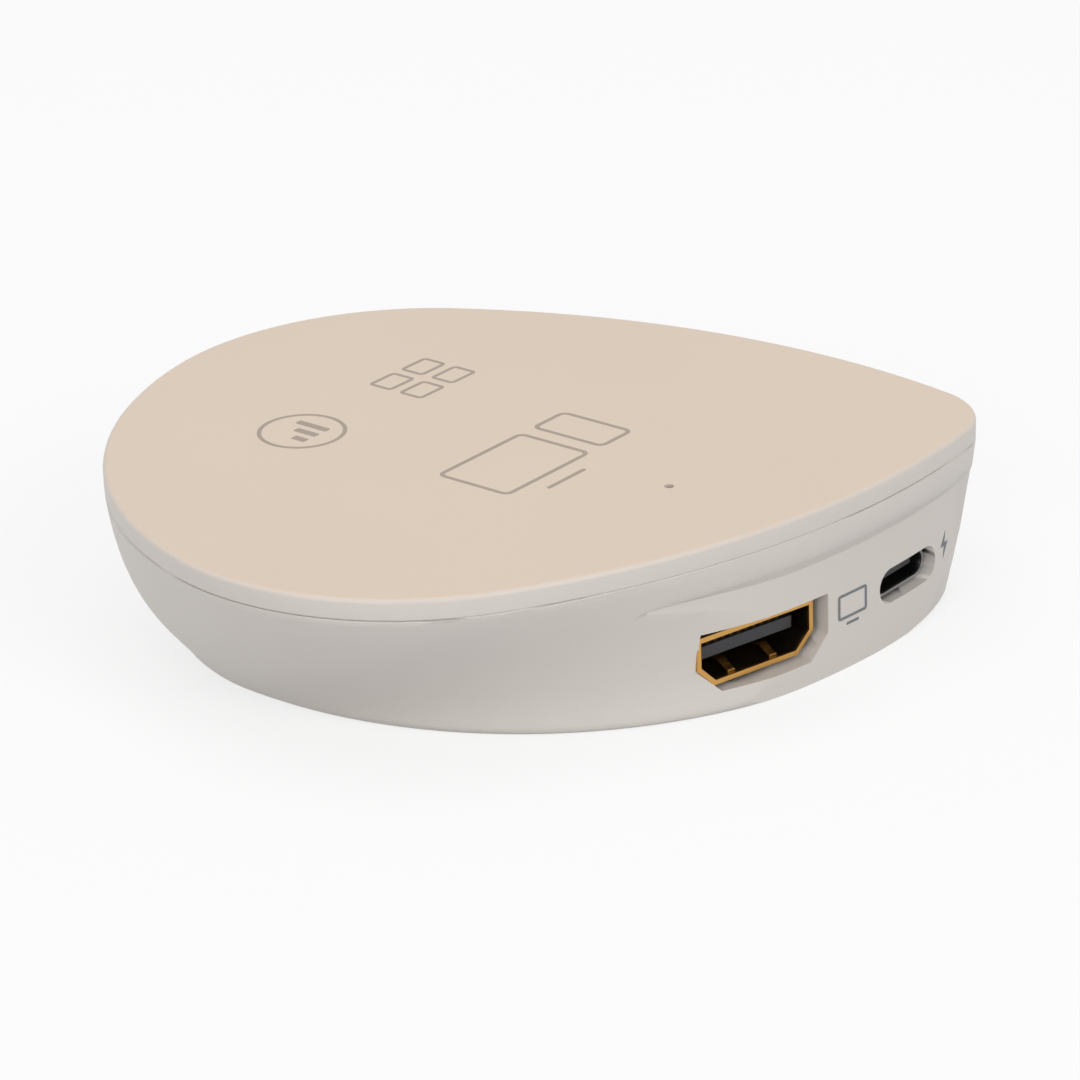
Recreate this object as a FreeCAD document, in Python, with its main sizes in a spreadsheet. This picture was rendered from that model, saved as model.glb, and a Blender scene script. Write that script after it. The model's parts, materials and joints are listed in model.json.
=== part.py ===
import FreeCAD, Part
import math
import os
import Sketcher

# Wireless display dongle: a low rounded-triangle puck with two sockets in one flank.
# Millimetres, +Z up, origin under the middle of the plan. +X runs to the narrow tip,
# and the sockets sit in the flank on the -Y side.

doc = FreeCAD.newDocument("display_dongle")

# Driving sizes
SIZES = {
    # plan of the top edge: one tip circle, two corner circles, two flanks, one back arc;
    # a flank's radius is that of the smallest circle round tip and corner, plus its slack,
    # and the back's is the corner's plus its slack
    "overall_height": 19.8,
    "top_tip_x": 36.1,
    "top_tip_radius": 9.0,
    "top_corner_back": 13.3,
    "top_corner_side": 10.4,
    "top_corner_radius": 28.9,
    "top_flank_slack": 42.1,
    "top_back_slack": 19.5,
    # plan of the base, before its edge is rounded
    "base_tip_x": 30.0,
    "base_tip_radius": 11.8,
    "base_corner_back": 17.3,
    "base_corner_side": 1.8,
    "base_corner_radius": 20.0,
    "base_flank_slack": 4.1,
    "base_back_slack": 4.0,
    # how the wall swells between base and parting line: 1 is straight, more is rounder
    "wall_power": 1.25,
    # walls, parting and edges
    "cover_skirt": 2.3,
    "wall": 1.8,
    "flank_easing": 20.0,
    "floor_thickness": 1.6,
    "cover_thickness": 1.8,
    "foot_round": 1.0,
    "floor_bevel": 1.4,
    "rim_round": 0.5,
    "seam_bevel": 0.2,
    "lip_gap": 0.5,
    "lip_thickness": 1.2,
    "lip_depth": 1.8,
    # recessed socket panel under its ledge
    "panel_depth": 1.5,
    "ledge_level": 13.8,
    "ledge_rise": 1.0,
    "panel_start": 23.7,
    "panel_wrap": 20.0,
    "panel_wall": 3.6,
    "relief_setback": 1.2,
    "cutter_reach": 14.0,
    # display socket
    "display_turn": 33.2,
    "display_level": 5.85,
    "display_window_width": 16.5,
    "display_window_height": 6.8,
    "display_window_bevel": 2.5,
    "display_setback": 1.5,
    "display_shell_width": 15.0,
    "display_shell_height": 5.6,
    "display_shell_bevel": 2.1,
    "display_mouth_width": 14.0,
    "display_mouth_height": 4.55,
    "display_mouth_bevel": 1.8,
    "display_shell_depth": 11.6,
    "display_block_depth": 2.6,
    "display_tongue_width": 11.6,
    "display_tongue_thickness": 1.3,
    "display_tongue_lift": 0.35,
    "display_tongue_setback": 1.4,
    "display_contact_width": 0.4,
    "display_contact_thickness": 0.15,
    "display_contact_length": 5.4,
    "display_contact_setback": 0.7,
    "display_contact_pitch": 1.0,
    "display_upper_contacts": 10,
    "display_lower_contacts": 9,
    "display_wing_width": 1.6,
    "display_wing_length": 6.0,
    "display_wing_thickness": 0.4,
    "display_wing_setback": 4.6,
    # power socket
    "power_turn": 47.9,
    "power_level": 6.65,
    "power_window_width": 10.2,
    "power_window_height": 3.85,
    "power_setback": 1.2,
    "power_shell_width": 8.94,
    "power_shell_height": 3.2,
    "power_shell_wall": 0.31,
    "power_shell_depth": 7.4,
    "power_block_depth": 1.8,
    "power_tongue_width": 6.6,
    "power_tongue_thickness": 0.7,
    "power_tongue_setback": 0.9,
    "power_contact_width": 0.26,
    "power_contact_thickness": 0.1,
    "power_contact_length": 3.1,
    "power_contact_setback": 0.4,
    "power_contact_pitch": 0.5,
    "power_contacts_per_row": 12,
    # main board, its bosses and screws
    "board_thickness": 1.0,
    "board_underside": 4.05,
    "board_inset": 3.0,
    "board_gap": 0.5,
    "boss_radius": 2.7,
    "boss_bore": 1.1,
    "boss_bore_depth": 2.2,
    "board_hole": 1.15,
    "screw_shank": 0.8,
    "screw_head": 1.9,
    "screw_head_height": 1.0,
    "screw_shank_length": 1.8,
    "screw_recess": 0.9,
    "screw_recess_width": 0.4,
    "screw_recess_depth": 0.6,
    "screw_front_x": 33.6,
    "screw_front_y": 4.4,
    "screw_side_x": -4.0,
    "screw_side_y": 21.5,
    "screw_back_x": -31.0,
    "screw_back_y": 9.0,
    # cover posts and the tubes that take them
    "post_radius": 1.6,
    "post_gap": 0.3,
    "post_end": 9.2,
    "tube_wall": 1.1,
    "tube_top": 13.2,
    "tube_floor": 6.2,
    "tube_board_gap": 0.5,
    "post_front_x": 19.0,
    "post_front_y": 14.0,
    "post_back_x": -22.0,
    "post_back_y": 17.0,
    "post_rib_thickness": 1.2,
    "post_rib_length": 11.0,
    "post_rib_height": 3.0,
    # status light
    "led_hole_radius": 0.5,
    "led_x": 11.7,
    "led_y": -15.4,
    "led_shift": 3.2,
    "led_length": 1.6,
    "led_width": 0.8,
    "led_height": 0.6,
    "pipe_radius": 1.1,
    "pipe_bridge_level": 9.45,
    "pipe_bridge_height": 2.2,
    "pipe_gap": 0.3,
    "pipe_socket_wall": 0.9,
    "pipe_socket_depth": 3.0,
    # processor, its pad and heat sink
    "processor_x": -9.0,
    "processor_y": 1.0,
    "processor_side": 14.0,
    "processor_height": 1.2,
    "pad_side": 13.0,
    "pad_height": 0.8,
    "sink_side": 25.0,
    "sink_base": 1.6,
    "sink_height": 8.4,
    "sink_fins": 8,
    "sink_fin_thickness": 1.2,
    "sink_leg_radius": 0.9,
    "sink_leg_inset": 2.2,
    "sink_leg_gap": 0.3,
    # memory and storage
    "memory_x": 3.6,
    "memory_y": -2.6,
    "memory_step": 8.8,
    "memory_length": 8.6,
    "memory_width": 7.4,
    "memory_height": 1.0,
    "flash_x": 14.6,
    "flash_y": 4.6,
    "flash_length": 9.6,
    "flash_width": 7.4,
    "flash_height": 1.0,
    # radio module
    "radio_x": -30.0,
    "radio_y": 0.0,
    "radio_length": 9.0,
    "radio_width": 11.0,
    "radio_board_thickness": 0.8,
    "can_inset": 0.6,
    "can_height": 2.0,
    "can_wall": 0.3,
    # antennas on the board edge at the round end
    "antenna_x": -13.0,
    "antenna_y": 20.3,
    "antenna_length": 11.0,
    "antenna_height": 5.0,
    "antenna_thickness": 0.3,
    "antenna_foot": 1.6,
    "antenna_arm": 2.0,
    # power parts
    "inductor_x": 18.6,
    "inductor_y": -2.2,
    "inductor_step": 5.2,
    "inductor_side": 4.2,
    "inductor_height": 2.0,
    "regulator_x": 22.4,
    "regulator_y": 4.4,
    "regulator_step": 4.4,
    "regulator_side": 3.0,
    "regulator_height": 0.8,
    "bulk_x": -12.0,
    "bulk_y": -17.6,
    "bulk_step": 4.6,
    "bulk_radius": 1.7,
    "bulk_height": 4.2,
    "bulk_count": 2,
    "ceramic_x": -15.0,
    "ceramic_y": 15.4,
    "ceramic_step": 2.0,
    "ceramic_length": 1.0,
    "ceramic_width": 0.6,
    "ceramic_height": 0.5,
    "ceramic_count": 7,
    "crystal_x": -16.5,
    "crystal_y": -13.6,
    "crystal_length": 3.2,
    "crystal_width": 2.5,
    "crystal_height": 0.8,
}

sheet = doc.addObject("Spreadsheet::Sheet", "Sizes")
for row, (alias, value) in enumerate(SIZES.items(), start=1):
    sheet.set("A%d" % row, alias)
    sheet.set("B%d" % row, str(value))
    sheet.setAlias("B%d" % row, alias)
doc.recompute()


def size(name):
    return "Sizes." + name


def number(expression):
    result = sheet.evalExpression(expression)
    return float(getattr(result, "Value", result))


def plan_span(end):
    """Distance between the tip and corner circles' centres."""
    values = {"end": end}
    return ("sqrt((Sizes.%(end)s_tip_x + Sizes.%(end)s_corner_back)^2"
            " + Sizes.%(end)s_corner_side^2)" % values)


def flank_radius(end):
    return ("((%s + Sizes.%s_tip_radius + Sizes.%s_corner_radius) / 2 + Sizes.%s_flank_slack)"
            % (plan_span(end), end, end, end))


def back_radius(end):
    return "(Sizes.%s_corner_radius + Sizes.%s_back_slack)" % (end, end)


# Centre of the socket flank arc, from the tip and corner circles it joins
SPAN = plan_span("top")
FLANK_RADIUS = flank_radius("top")
TO_TIP = "(%s - Sizes.top_tip_radius)" % FLANK_RADIUS
TO_CORNER = "(%s - Sizes.top_corner_radius)" % FLANK_RADIUS
ALONG = "((%s^2 - %s^2 + %s^2) / (2 * %s))" % (TO_TIP, TO_CORNER, SPAN, SPAN)
ACROSS = "sqrt(%s^2 - %s^2)" % (TO_TIP, ALONG)
LENGTHWISE = "((Sizes.top_tip_x + Sizes.top_corner_back) / %s)" % SPAN
SIDEWISE = "(Sizes.top_corner_side / %s)" % SPAN
FLANK_X = "(Sizes.top_tip_x - %s * %s - %s * %s)" % (ALONG, LENGTHWISE, ACROSS, SIDEWISE)
FLANK_Y = "(%s * %s - %s * %s)" % (ACROSS, LENGTHWISE, ALONG, SIDEWISE)
ROUND_STEPS = 3
WALL_STEPS = 5
HOLLOW_STEPS = 3
PARTING = "(Sizes.overall_height - Sizes.cover_skirt)"
PANEL_RADIUS = "(%s - Sizes.panel_depth)" % FLANK_RADIUS
BOARD_TOP = "(Sizes.board_underside + Sizes.board_thickness)"
COVER_INSIDE = "(Sizes.overall_height - Sizes.cover_thickness)"


def from_flank(radius, turn):
    """Plan point at a radius from the flank centre, turned from -Y towards +X."""
    x = "%s + (%s) * sin(%s)" % (FLANK_X, radius, turn)
    y = "%s - (%s) * cos(%s)" % (FLANK_Y, radius, turn)
    return x, y


# Bodies, sketches and features
def new_body(label, several=False):
    body = doc.addObject("PartDesign::Body", label)
    body.Label = label
    body.AllowCompound = several
    return body


def new_sketch(body, name, role, x="0", y="0", z="0", turn=None, axis=None):
    sketch = body.newObject("Sketcher::SketchObject", name)
    plane = [item for item in body.Origin.OriginFeatures if item.Role == role][0]
    sketch.AttachmentSupport = [(plane, "")]
    sketch.MapMode = "FlatFace"
    if turn:
        rotation = FreeCAD.Rotation(axis, number(turn))
        sketch.AttachmentOffset = FreeCAD.Placement(FreeCAD.Vector(), rotation)
        sketch.setExpression("AttachmentOffset.Rotation.Angle", turn)
    for path, expression in (("x", x), ("y", y), ("z", z)):
        sketch.setExpression("AttachmentOffset.Base." + path, expression)
    return sketch


def bind(sketch, constraint, expression):
    index = sketch.addConstraint(constraint)
    sketch.setExpression("Constraints[%d]" % index, expression)


def pin(sketch, geometry, point, axis, expression):
    """Fix one coordinate of a point from the sketch origin."""
    kind = "Distance" + axis
    value = number(expression)
    if value < 0:
        constraint = Sketcher.Constraint(kind, geometry, point, -1, 1, -value)
        bind(sketch, constraint, "-(%s)" % expression)
    else:
        bind(sketch, Sketcher.Constraint(kind, -1, 1, geometry, point, value), expression)


def polygon(sketch, points):
    """Closed straight-sided loop through points given as expression pairs."""
    places = [FreeCAD.Vector(number(x), number(y), 0) for x, y in points]
    count = len(places)
    first = sketch.GeometryCount
    for i in range(count):
        sketch.addGeometry(Part.LineSegment(places[i], places[(i + 1) % count]), False)
    for i in range(count):
        after = first + (i + 1) % count
        sketch.addConstraint(Sketcher.Constraint("Coincident", first + i, 2, after, 1))
    for i, (x, y) in enumerate(points):
        pin(sketch, first + i, 1, "X", x)
        pin(sketch, first + i, 1, "Y", y)


def rectangle(sketch, x, y, width, height):
    """Rectangle about a middle point."""
    left = "%s - (%s) / 2" % (x, width)
    right = "%s + (%s) / 2" % (x, width)
    low = "%s - (%s) / 2" % (y, height)
    high = "%s + (%s) / 2" % (y, height)
    polygon(sketch, [(left, low), (right, low), (right, high), (left, high)])


def circle(sketch, x, y, radius):
    centre = FreeCAD.Vector(number(x), number(y), 0)
    ring = Part.Circle(centre, FreeCAD.Vector(0, 0, 1), number(radius))
    index = sketch.addGeometry(ring, False)
    pin(sketch, index, 3, "X", x)
    pin(sketch, index, 3, "Y", y)
    bind(sketch, Sketcher.Constraint("Radius", index, number(radius)), radius)


def cross(sketch, x, y, reach, width):
    """Plus-shaped outline about a middle point."""
    corners = []
    for across, up in ((1, 0), (0, 1), (-1, 0), (0, -1)):
        for a, b in (("(%s)" % reach, "-(%s) / 2" % width), ("(%s)" % reach, "(%s) / 2" % width),
                     ("(%s) / 2" % width, "(%s) / 2" % width)):
            corners.append(("%s + %d * %s - %d * (%s)" % (x, across, a, up, b),
                            "%s + %d * %s + %d * (%s)" % (y, up, a, across, b)))
    polygon(sketch, corners)


def stadium(sketch, width, height):
    """Slot outline about the sketch origin, round at both ends."""
    reach = "((%s) - (%s)) / 2" % (width, height)
    radius = "(%s) / 2" % height
    a = number(reach)
    r = number(radius)
    up = FreeCAD.Vector(0, 0, 1)
    quarter = math.pi / 2
    right = Part.Circle(FreeCAD.Vector(a, 0, 0), up, r)
    left = Part.Circle(FreeCAD.Vector(-a, 0, 0), up, r)
    sketch.addGeometry(Part.ArcOfCircle(right, -quarter, quarter), False)
    sketch.addGeometry(Part.LineSegment(FreeCAD.Vector(a, r, 0), FreeCAD.Vector(-a, r, 0)), False)
    sketch.addGeometry(Part.ArcOfCircle(left, quarter, 3 * quarter), False)
    sketch.addGeometry(Part.LineSegment(FreeCAD.Vector(-a, -r, 0), FreeCAD.Vector(a, -r, 0)), False)
    for i in range(4):
        sketch.addConstraint(Sketcher.Constraint("Tangent", i, 2, (i + 1) % 4, 1))
    pin(sketch, 0, 3, "X", reach)
    pin(sketch, 0, 3, "Y", "0")
    pin(sketch, 2, 3, "X", "-(%s)" % reach)
    bind(sketch, Sketcher.Constraint("Radius", 0, r), radius)


def bevelled(sketch, width, height, bevel):
    """Socket outline about the sketch origin with both lower corners cut off."""
    half = "(%s) / 2" % width
    tall = "(%s) / 2" % height
    foot = "(%s) / 2 - (%s)" % (width, bevel)
    knee = "(%s) - (%s) / 2" % (bevel, height)
    polygon(sketch, [
        ("-(%s)" % foot, "-(%s)" % tall), (foot, "-(%s)" % tall),
        (half, knee), (half, tall),
        ("-(%s)" % half, tall), ("-(%s)" % half, knee)])


def level_share(level):
    """Share of the base plan at a height: all of it at the base, none above the parting line."""
    return "max(0; 1 - (%s) / %s)^Sizes.wall_power" % (level, PARTING)


def level_size(name, level):
    """A plan size at a height."""
    values = {"name": name, "share": level_share(level)}
    return ("(Sizes.top_%(name)s + (Sizes.base_%(name)s - Sizes.top_%(name)s)"
            " * %(share)s)" % values)


def level_radius(arc, level):
    """A plan arc's radius at a height: small circles by radius, long arcs by their bow."""
    if arc in ("tip", "corner"):
        return level_size(arc + "_radius", level)
    radius = flank_radius if arc == "flank" else back_radius
    values = {"top": radius("top"), "base": radius("base"), "share": level_share(level)}
    return "1 / (1 / %(top)s + (1 / %(base)s - 1 / %(top)s) * %(share)s)" % values


def outline(body, name, level, inset, easing="0"):
    """Rounded-triangle plan at a height: six arcs, each tangent to the next."""
    sketch = new_sketch(body, name, "XY_Plane", z=level)
    tip_x = level_size("tip_x", level)
    back = level_size("corner_back", level)
    side = level_size("corner_side", level)
    radius = {}
    for arc in ("tip", "corner", "flank", "back"):
        radius[arc] = "%s - (%s)" % (level_radius(arc, level), inset)
    radius["flank"] += " + (%s)" % easing
    r = {arc: number(expression) for arc, expression in radius.items()}
    tip = FreeCAD.Vector(number(tip_x), 0, 0)
    upper = FreeCAD.Vector(-number(back), number(side), 0)
    lower = FreeCAD.Vector(upper.x, -upper.y, 0)
    span = tip.distanceToPoint(upper)
    to_tip = r["flank"] - r["tip"]
    to_corner = r["flank"] - r["corner"]
    along = (to_tip ** 2 - to_corner ** 2 + span ** 2) / (2 * span)
    across = math.sqrt(to_tip ** 2 - along ** 2)
    line = (upper - tip) / span
    flank_up = tip + line * along + FreeCAD.Vector(-line.y, line.x, 0) * across
    flank_down = FreeCAD.Vector(flank_up.x, -flank_up.y, 0)
    reach = math.sqrt((r["back"] - r["corner"]) ** 2 - upper.y ** 2)
    behind = FreeCAD.Vector(upper.x + reach, 0, 0)

    def bearing(centre, towards):
        return math.atan2(towards.y - centre.y, towards.x - centre.x)

    tip_end = bearing(flank_up, tip)
    flank_end = bearing(flank_up, upper)
    corner_end = bearing(behind, upper)
    arcs = [(tip, "tip", -tip_end, tip_end),
            (flank_up, "flank", tip_end, flank_end),
            (upper, "corner", flank_end, corner_end),
            (behind, "back", corner_end, 2 * math.pi - corner_end),
            (lower, "corner", -corner_end, -flank_end),
            (flank_down, "flank", -flank_end, -tip_end)]
    for centre, arc, start, end in arcs:
        ring = Part.Circle(centre, FreeCAD.Vector(0, 0, 1), r[arc])
        sketch.addGeometry(Part.ArcOfCircle(ring, start, end), False)
    for i in range(6):
        sketch.addConstraint(Sketcher.Constraint("Tangent", i, 2, (i + 1) % 6, 1))
    for i, (centre, arc, start, end) in enumerate(arcs):
        bind(sketch, Sketcher.Constraint("Radius", i, r[arc]), radius[arc])
    pin(sketch, 0, 3, "X", tip_x)
    pin(sketch, 0, 3, "Y", "0")
    pin(sketch, 2, 3, "X", "-(%s)" % back)
    pin(sketch, 2, 3, "Y", side)
    pin(sketch, 4, 3, "X", "-(%s)" % back)
    pin(sketch, 4, 3, "Y", "-(%s)" % side)
    return sketch


def feature(body, kind, name, sketch, length=None, flip=False, middle=False):
    item = body.newObject("PartDesign::" + kind, name)
    item.Profile = sketch
    if length:
        item.setExpression("Length", length)
        item.Reversed = flip
        item.Midplane = middle
    sketch.Visibility = False
    doc.recompute()
    return item


def loft(body, kind, name, sections):
    item = body.newObject("PartDesign::" + kind, name)
    item.Profile = sections[0]
    item.Sections = sections[1:]
    doc.recompute()


def tapered(body, kind, name, low, high, inset, steps=1, high_inset=None, easing="0"):
    """Smooth loft through plans shared out evenly between two heights."""
    sections = []
    for step in range(steps + 1):
        level = "%s + ((%s) - (%s)) * %d / %d" % (low, high, low, step, steps)
        drawn_in = high_inset if high_inset and step == steps else inset
        sections.append(outline(body, "%s_%d" % (name, step), level, drawn_in, easing))
    loft(body, kind, name, sections)


def rounded(body, name, level, radius, upwards=True):
    """Quarter round in straight strips, from the flat face at a level to the wall."""
    def strip_edge(step, end):
        angle = 90.0 * step / ROUND_STEPS
        rise = "%s * (1 - cos(%s))" % (radius, angle)
        place_at = "%s %s %s" % (level, "+" if upwards else "-", rise)
        drawn_in = "%s * (1 - sin(%s))" % (radius, angle)
        return outline(body, "%s_%d_%s" % (name, step, end), place_at, drawn_in)

    order = range(ROUND_STEPS) if upwards else reversed(range(ROUND_STEPS))
    for step in order:
        pair = [strip_edge(step, "start"), strip_edge(step + 1, "end")]
        loft(body, "AdditiveLoft", "%s_%d" % (name, step), pair)


def repeat(body, name, original, role, step, count):
    """Row of copies of one feature along an origin axis."""
    item = body.newObject("PartDesign::LinearPattern", name)
    item.Originals = [original]
    axis = [line for line in body.Origin.OriginFeatures if line.Role == role][0]
    item.Direction = (axis, [""])
    item.setExpression("Length", "%s * (%s - 1)" % (step, count))
    item.setExpression("Occurrences", count)
    body.Tip = item
    doc.recompute()


def place(body, x, y, z, turn=None):
    if turn:
        upright = FreeCAD.Vector(0, 0, 1)
        rotation = FreeCAD.Rotation(upright, number(turn))
        body.Placement = FreeCAD.Placement(FreeCAD.Vector(), rotation)
        body.setExpression("Placement.Rotation.Angle", turn)
    for path, expression in (("x", x), ("y", y), ("z", z)):
        body.setExpression("Placement.Base." + path, expression)


SIDEWAYS = FreeCAD.Vector(0, 1, 0)
SCREWS = [(size("screw_front_x"), size("screw_front_y")),
          (size("screw_side_x"), size("screw_side_y")),
          (size("screw_back_x"), size("screw_back_y")),
          (size("screw_back_x"), "-" + size("screw_back_y"))]
POSTS = [(size("post_front_x"), size("post_front_y")),
         (size("post_back_x"), size("post_back_y")),
         (size("post_back_x"), "-" + size("post_back_y"))]
TUBE_RADIUS = "(Sizes.post_radius + Sizes.post_gap + Sizes.tube_wall)"


def socket_plane(body, name, turn, level, radius):
    """Upright sketch facing out of the socket flank."""
    x, y = from_flank(radius, turn)
    return new_sketch(body, name, "XZ_Plane", x, level, "-(%s)" % y, turn, SIDEWAYS)


def tip_cutter(sketch, start, wrap, depth):
    """Ground outside a depth: along the flank, round the tip, then well clear of the body."""
    centre = FreeCAD.Vector(number(FLANK_X), number(FLANK_Y), 0)
    tip = FreeCAD.Vector(number("Sizes.top_tip_x"), 0, 0)
    outer = "(%s - (%s))" % (FLANK_RADIUS, depth)
    wall_radius = number(outer)
    tip_radius = "(Sizes.top_tip_radius - (%s))" % depth
    joint = math.atan2(tip.y - centre.y, tip.x - centre.x)
    up = FreeCAD.Vector(0, 0, 1)
    start_angle = math.radians(number(start) - 90)
    wrap_angle = math.radians(number(wrap))
    flank = Part.Circle(centre, up, wall_radius)
    nose = Part.Circle(tip, up, number(tip_radius))
    sketch.addGeometry(Part.ArcOfCircle(flank, start_angle, joint), False)
    sketch.addGeometry(Part.ArcOfCircle(nose, joint, wrap_angle), False)
    away = "(%s + Sizes.cutter_reach)" % PANEL_RADIUS
    begin = from_flank(outer, start)
    out = from_flank(away, start)
    turning = from_flank(away, "(Sizes.power_turn + Sizes.panel_wrap / 4)")
    nose_away = "(%s + Sizes.cutter_reach)" % tip_radius
    beyond = ("Sizes.top_tip_x + %s * cos(%s)" % (nose_away, wrap),
              "%s * sin(%s)" % (nose_away, wrap))
    close = ("Sizes.top_tip_x + %s * cos(%s)" % (tip_radius, wrap),
             "%s * sin(%s)" % (tip_radius, wrap))
    path = [close, beyond, turning, out, begin]
    places = [FreeCAD.Vector(number(x), number(y), 0) for x, y in path]
    for i in range(4):
        sketch.addGeometry(Part.LineSegment(places[i], places[i + 1]), False)
    sketch.addConstraint(Sketcher.Constraint("Tangent", 0, 2, 1, 1))
    sketch.addConstraint(Sketcher.Constraint("Coincident", 1, 2, 2, 1))
    for i in (2, 3, 4):
        sketch.addConstraint(Sketcher.Constraint("Coincident", i, 2, i + 1, 1))
    sketch.addConstraint(Sketcher.Constraint("Coincident", 5, 2, 0, 1))
    pin(sketch, 0, 3, "X", FLANK_X)
    pin(sketch, 0, 3, "Y", FLANK_Y)
    bind(sketch, Sketcher.Constraint("Radius", 0, wall_radius), outer)
    pin(sketch, 1, 3, "X", "Sizes.top_tip_x")
    pin(sketch, 0, 1, "X", begin[0])
    pin(sketch, 1, 2, "Y", close[1])
    for geometry, corner in ((2, 1), (3, 2), (4, 3)):
        pin(sketch, geometry, 2, "X", path[corner][0])
        pin(sketch, geometry, 2, "Y", path[corner][1])


# Bottom housing
housing = new_body("bottom_housing")
bowl_rim = "(%s - Sizes.seam_bevel)" % PARTING
rounded(housing, "foot", "0", size("foot_round"))
tapered(housing, "AdditiveLoft", "bowl", size("foot_round"), bowl_rim, "0", WALL_STEPS)
tapered(housing, "AdditiveLoft", "seam", bowl_rim, PARTING, "0", high_inset=size("seam_bevel"))
hollow_foot = "(Sizes.floor_thickness + Sizes.floor_bevel)"
tapered(housing, "SubtractiveLoft", "floor_edge", size("floor_thickness"), hollow_foot,
        "Sizes.wall + Sizes.floor_bevel", high_inset=size("wall"), easing=size("flank_easing"))
for step in range(HOLLOW_STEPS):
    low, high = ["%s + (%s - %s) * %d / %d"
                 % (hollow_foot, PARTING, hollow_foot, step + i, HOLLOW_STEPS) for i in (0, 1)]
    tapered(housing, "SubtractiveLoft", "hollow_%d" % step, low, high, size("wall"),
            easing=size("flank_easing"))
panel = new_sketch(housing, "panel_ground", "XY_Plane")
tip_cutter(panel, size("panel_start"), size("panel_wrap"), size("panel_depth"))
feature(housing, "Pocket", "panel", panel, size("ledge_level"), flip=True)
ledge_low = new_sketch(housing, "ledge_low", "XY_Plane", z=size("ledge_level"))
tip_cutter(ledge_low, size("panel_start"), size("panel_wrap"), size("panel_depth"))
ledge_high = new_sketch(housing, "ledge_high", "XY_Plane", z="Sizes.ledge_level + Sizes.ledge_rise")
tip_cutter(ledge_high, size("panel_start"), size("panel_wrap"), "0")
loft(housing, "SubtractiveLoft", "ledge", [ledge_low, ledge_high])
display_window = socket_plane(housing, "display_window_plan", size("display_turn"),
                              size("display_level"), "%s + Sizes.wall" % PANEL_RADIUS)
bevelled(display_window, size("display_window_width"), size("display_window_height"),
         size("display_window_bevel"))
feature(housing, "Pocket", "display_window", display_window, "2 * Sizes.wall + Sizes.panel_wall")
relief_outer = "(%s - Sizes.panel_wall - Sizes.relief_setback)" % PANEL_RADIUS
relief_depth = "(Sizes.display_shell_depth - Sizes.relief_setback)"
relief_x, relief_y = from_flank("%s - %s / 2" % (relief_outer, relief_depth), size("display_turn"))
relief = new_sketch(housing, "relief_plan", "XY_Plane", relief_x, relief_y,
                    size("floor_thickness"), size("display_turn"), FreeCAD.Vector(0, 0, 1))
rectangle(relief, "0", "0",
          "Sizes.display_shell_width + 2 * Sizes.display_wing_width + 2 * Sizes.post_gap", relief_depth)
feature(housing, "Pocket", "socket_relief", relief,
        "Sizes.display_level + Sizes.display_window_height / 2 - Sizes.floor_thickness", flip=True)
power_window = socket_plane(housing, "power_window_plan", size("power_turn"), size("power_level"),
                            "%s + Sizes.wall" % PANEL_RADIUS)
stadium(power_window, size("power_window_width"), size("power_window_height"))
feature(housing, "Pocket", "power_window", power_window, "2 * Sizes.wall + Sizes.panel_wall")
bosses = new_sketch(housing, "boss_plan", "XY_Plane", z="Sizes.floor_thickness / 2")
for x, y in SCREWS:
    circle(bosses, x, y, size("boss_radius"))
feature(housing, "Pad", "bosses", bosses, "Sizes.board_underside - Sizes.floor_thickness / 2")
bores = new_sketch(housing, "bore_plan", "XY_Plane", z=size("board_underside"))
for x, y in SCREWS:
    circle(bores, x, y, size("boss_bore"))
feature(housing, "Pocket", "screw_bores", bores, size("boss_bore_depth"))
ribs = new_sketch(housing, "rib_plan", "XY_Plane", z="Sizes.floor_thickness / 2")
for x, y in POSTS:
    rectangle(ribs, x, y, size("post_rib_length"), size("post_rib_thickness"))
feature(housing, "Pad", "floor_ribs", ribs,
        "Sizes.board_underside - Sizes.board_gap - Sizes.floor_thickness / 2")
tubes = new_sketch(housing, "tube_plan", "XY_Plane", z="Sizes.floor_thickness / 2")
for x, y in POSTS:
    circle(tubes, x, y, TUBE_RADIUS)
feature(housing, "Pad", "tubes", tubes, "Sizes.tube_top - Sizes.floor_thickness / 2")
tube_bores = new_sketch(housing, "tube_bore_plan", "XY_Plane", z=size("tube_top"))
for x, y in POSTS:
    circle(tube_bores, x, y, "Sizes.post_radius + Sizes.post_gap")
feature(housing, "Pocket", "tube_bores", tube_bores, "Sizes.tube_top - Sizes.tube_floor")

# Top cover
cover = new_body("top_cover")
lid_rim = "(%s + Sizes.seam_bevel)" % PARTING
lid_shoulder = "(Sizes.overall_height - Sizes.rim_round)"
tapered(cover, "AdditiveLoft", "lid", lid_rim, lid_shoulder, "0")
rounded(cover, "rim", size("overall_height"), size("rim_round"), upwards=False)
tapered(cover, "AdditiveLoft", "cover_seam", PARTING, lid_rim, size("seam_bevel"), high_inset="0")
tapered(cover, "SubtractiveLoft", "underside", "%s - Sizes.cover_thickness" % COVER_INSIDE,
        COVER_INSIDE, size("wall"))
lip_low = "(%s - Sizes.lip_depth)" % COVER_INSIDE
tapered(cover, "AdditiveLoft", "lip", lip_low, COVER_INSIDE, "Sizes.wall + Sizes.lip_gap",
        easing=size("flank_easing"))
tapered(cover, "SubtractiveLoft", "lip_inside", lip_low, COVER_INSIDE,
        "Sizes.wall + Sizes.lip_gap + Sizes.lip_thickness", easing=size("flank_easing"))
posts = new_sketch(cover, "post_plan", "XY_Plane", z=COVER_INSIDE)
for x, y in POSTS:
    circle(posts, x, y, size("post_radius"))
feature(cover, "Pad", "posts", posts, "%s - Sizes.post_end" % COVER_INSIDE, flip=True)
collar = new_sketch(cover, "pipe_collar_plan", "XY_Plane", z=COVER_INSIDE)
circle(collar, size("led_x"), size("led_y"),
       "Sizes.pipe_radius + Sizes.pipe_gap + Sizes.pipe_socket_wall")
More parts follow.
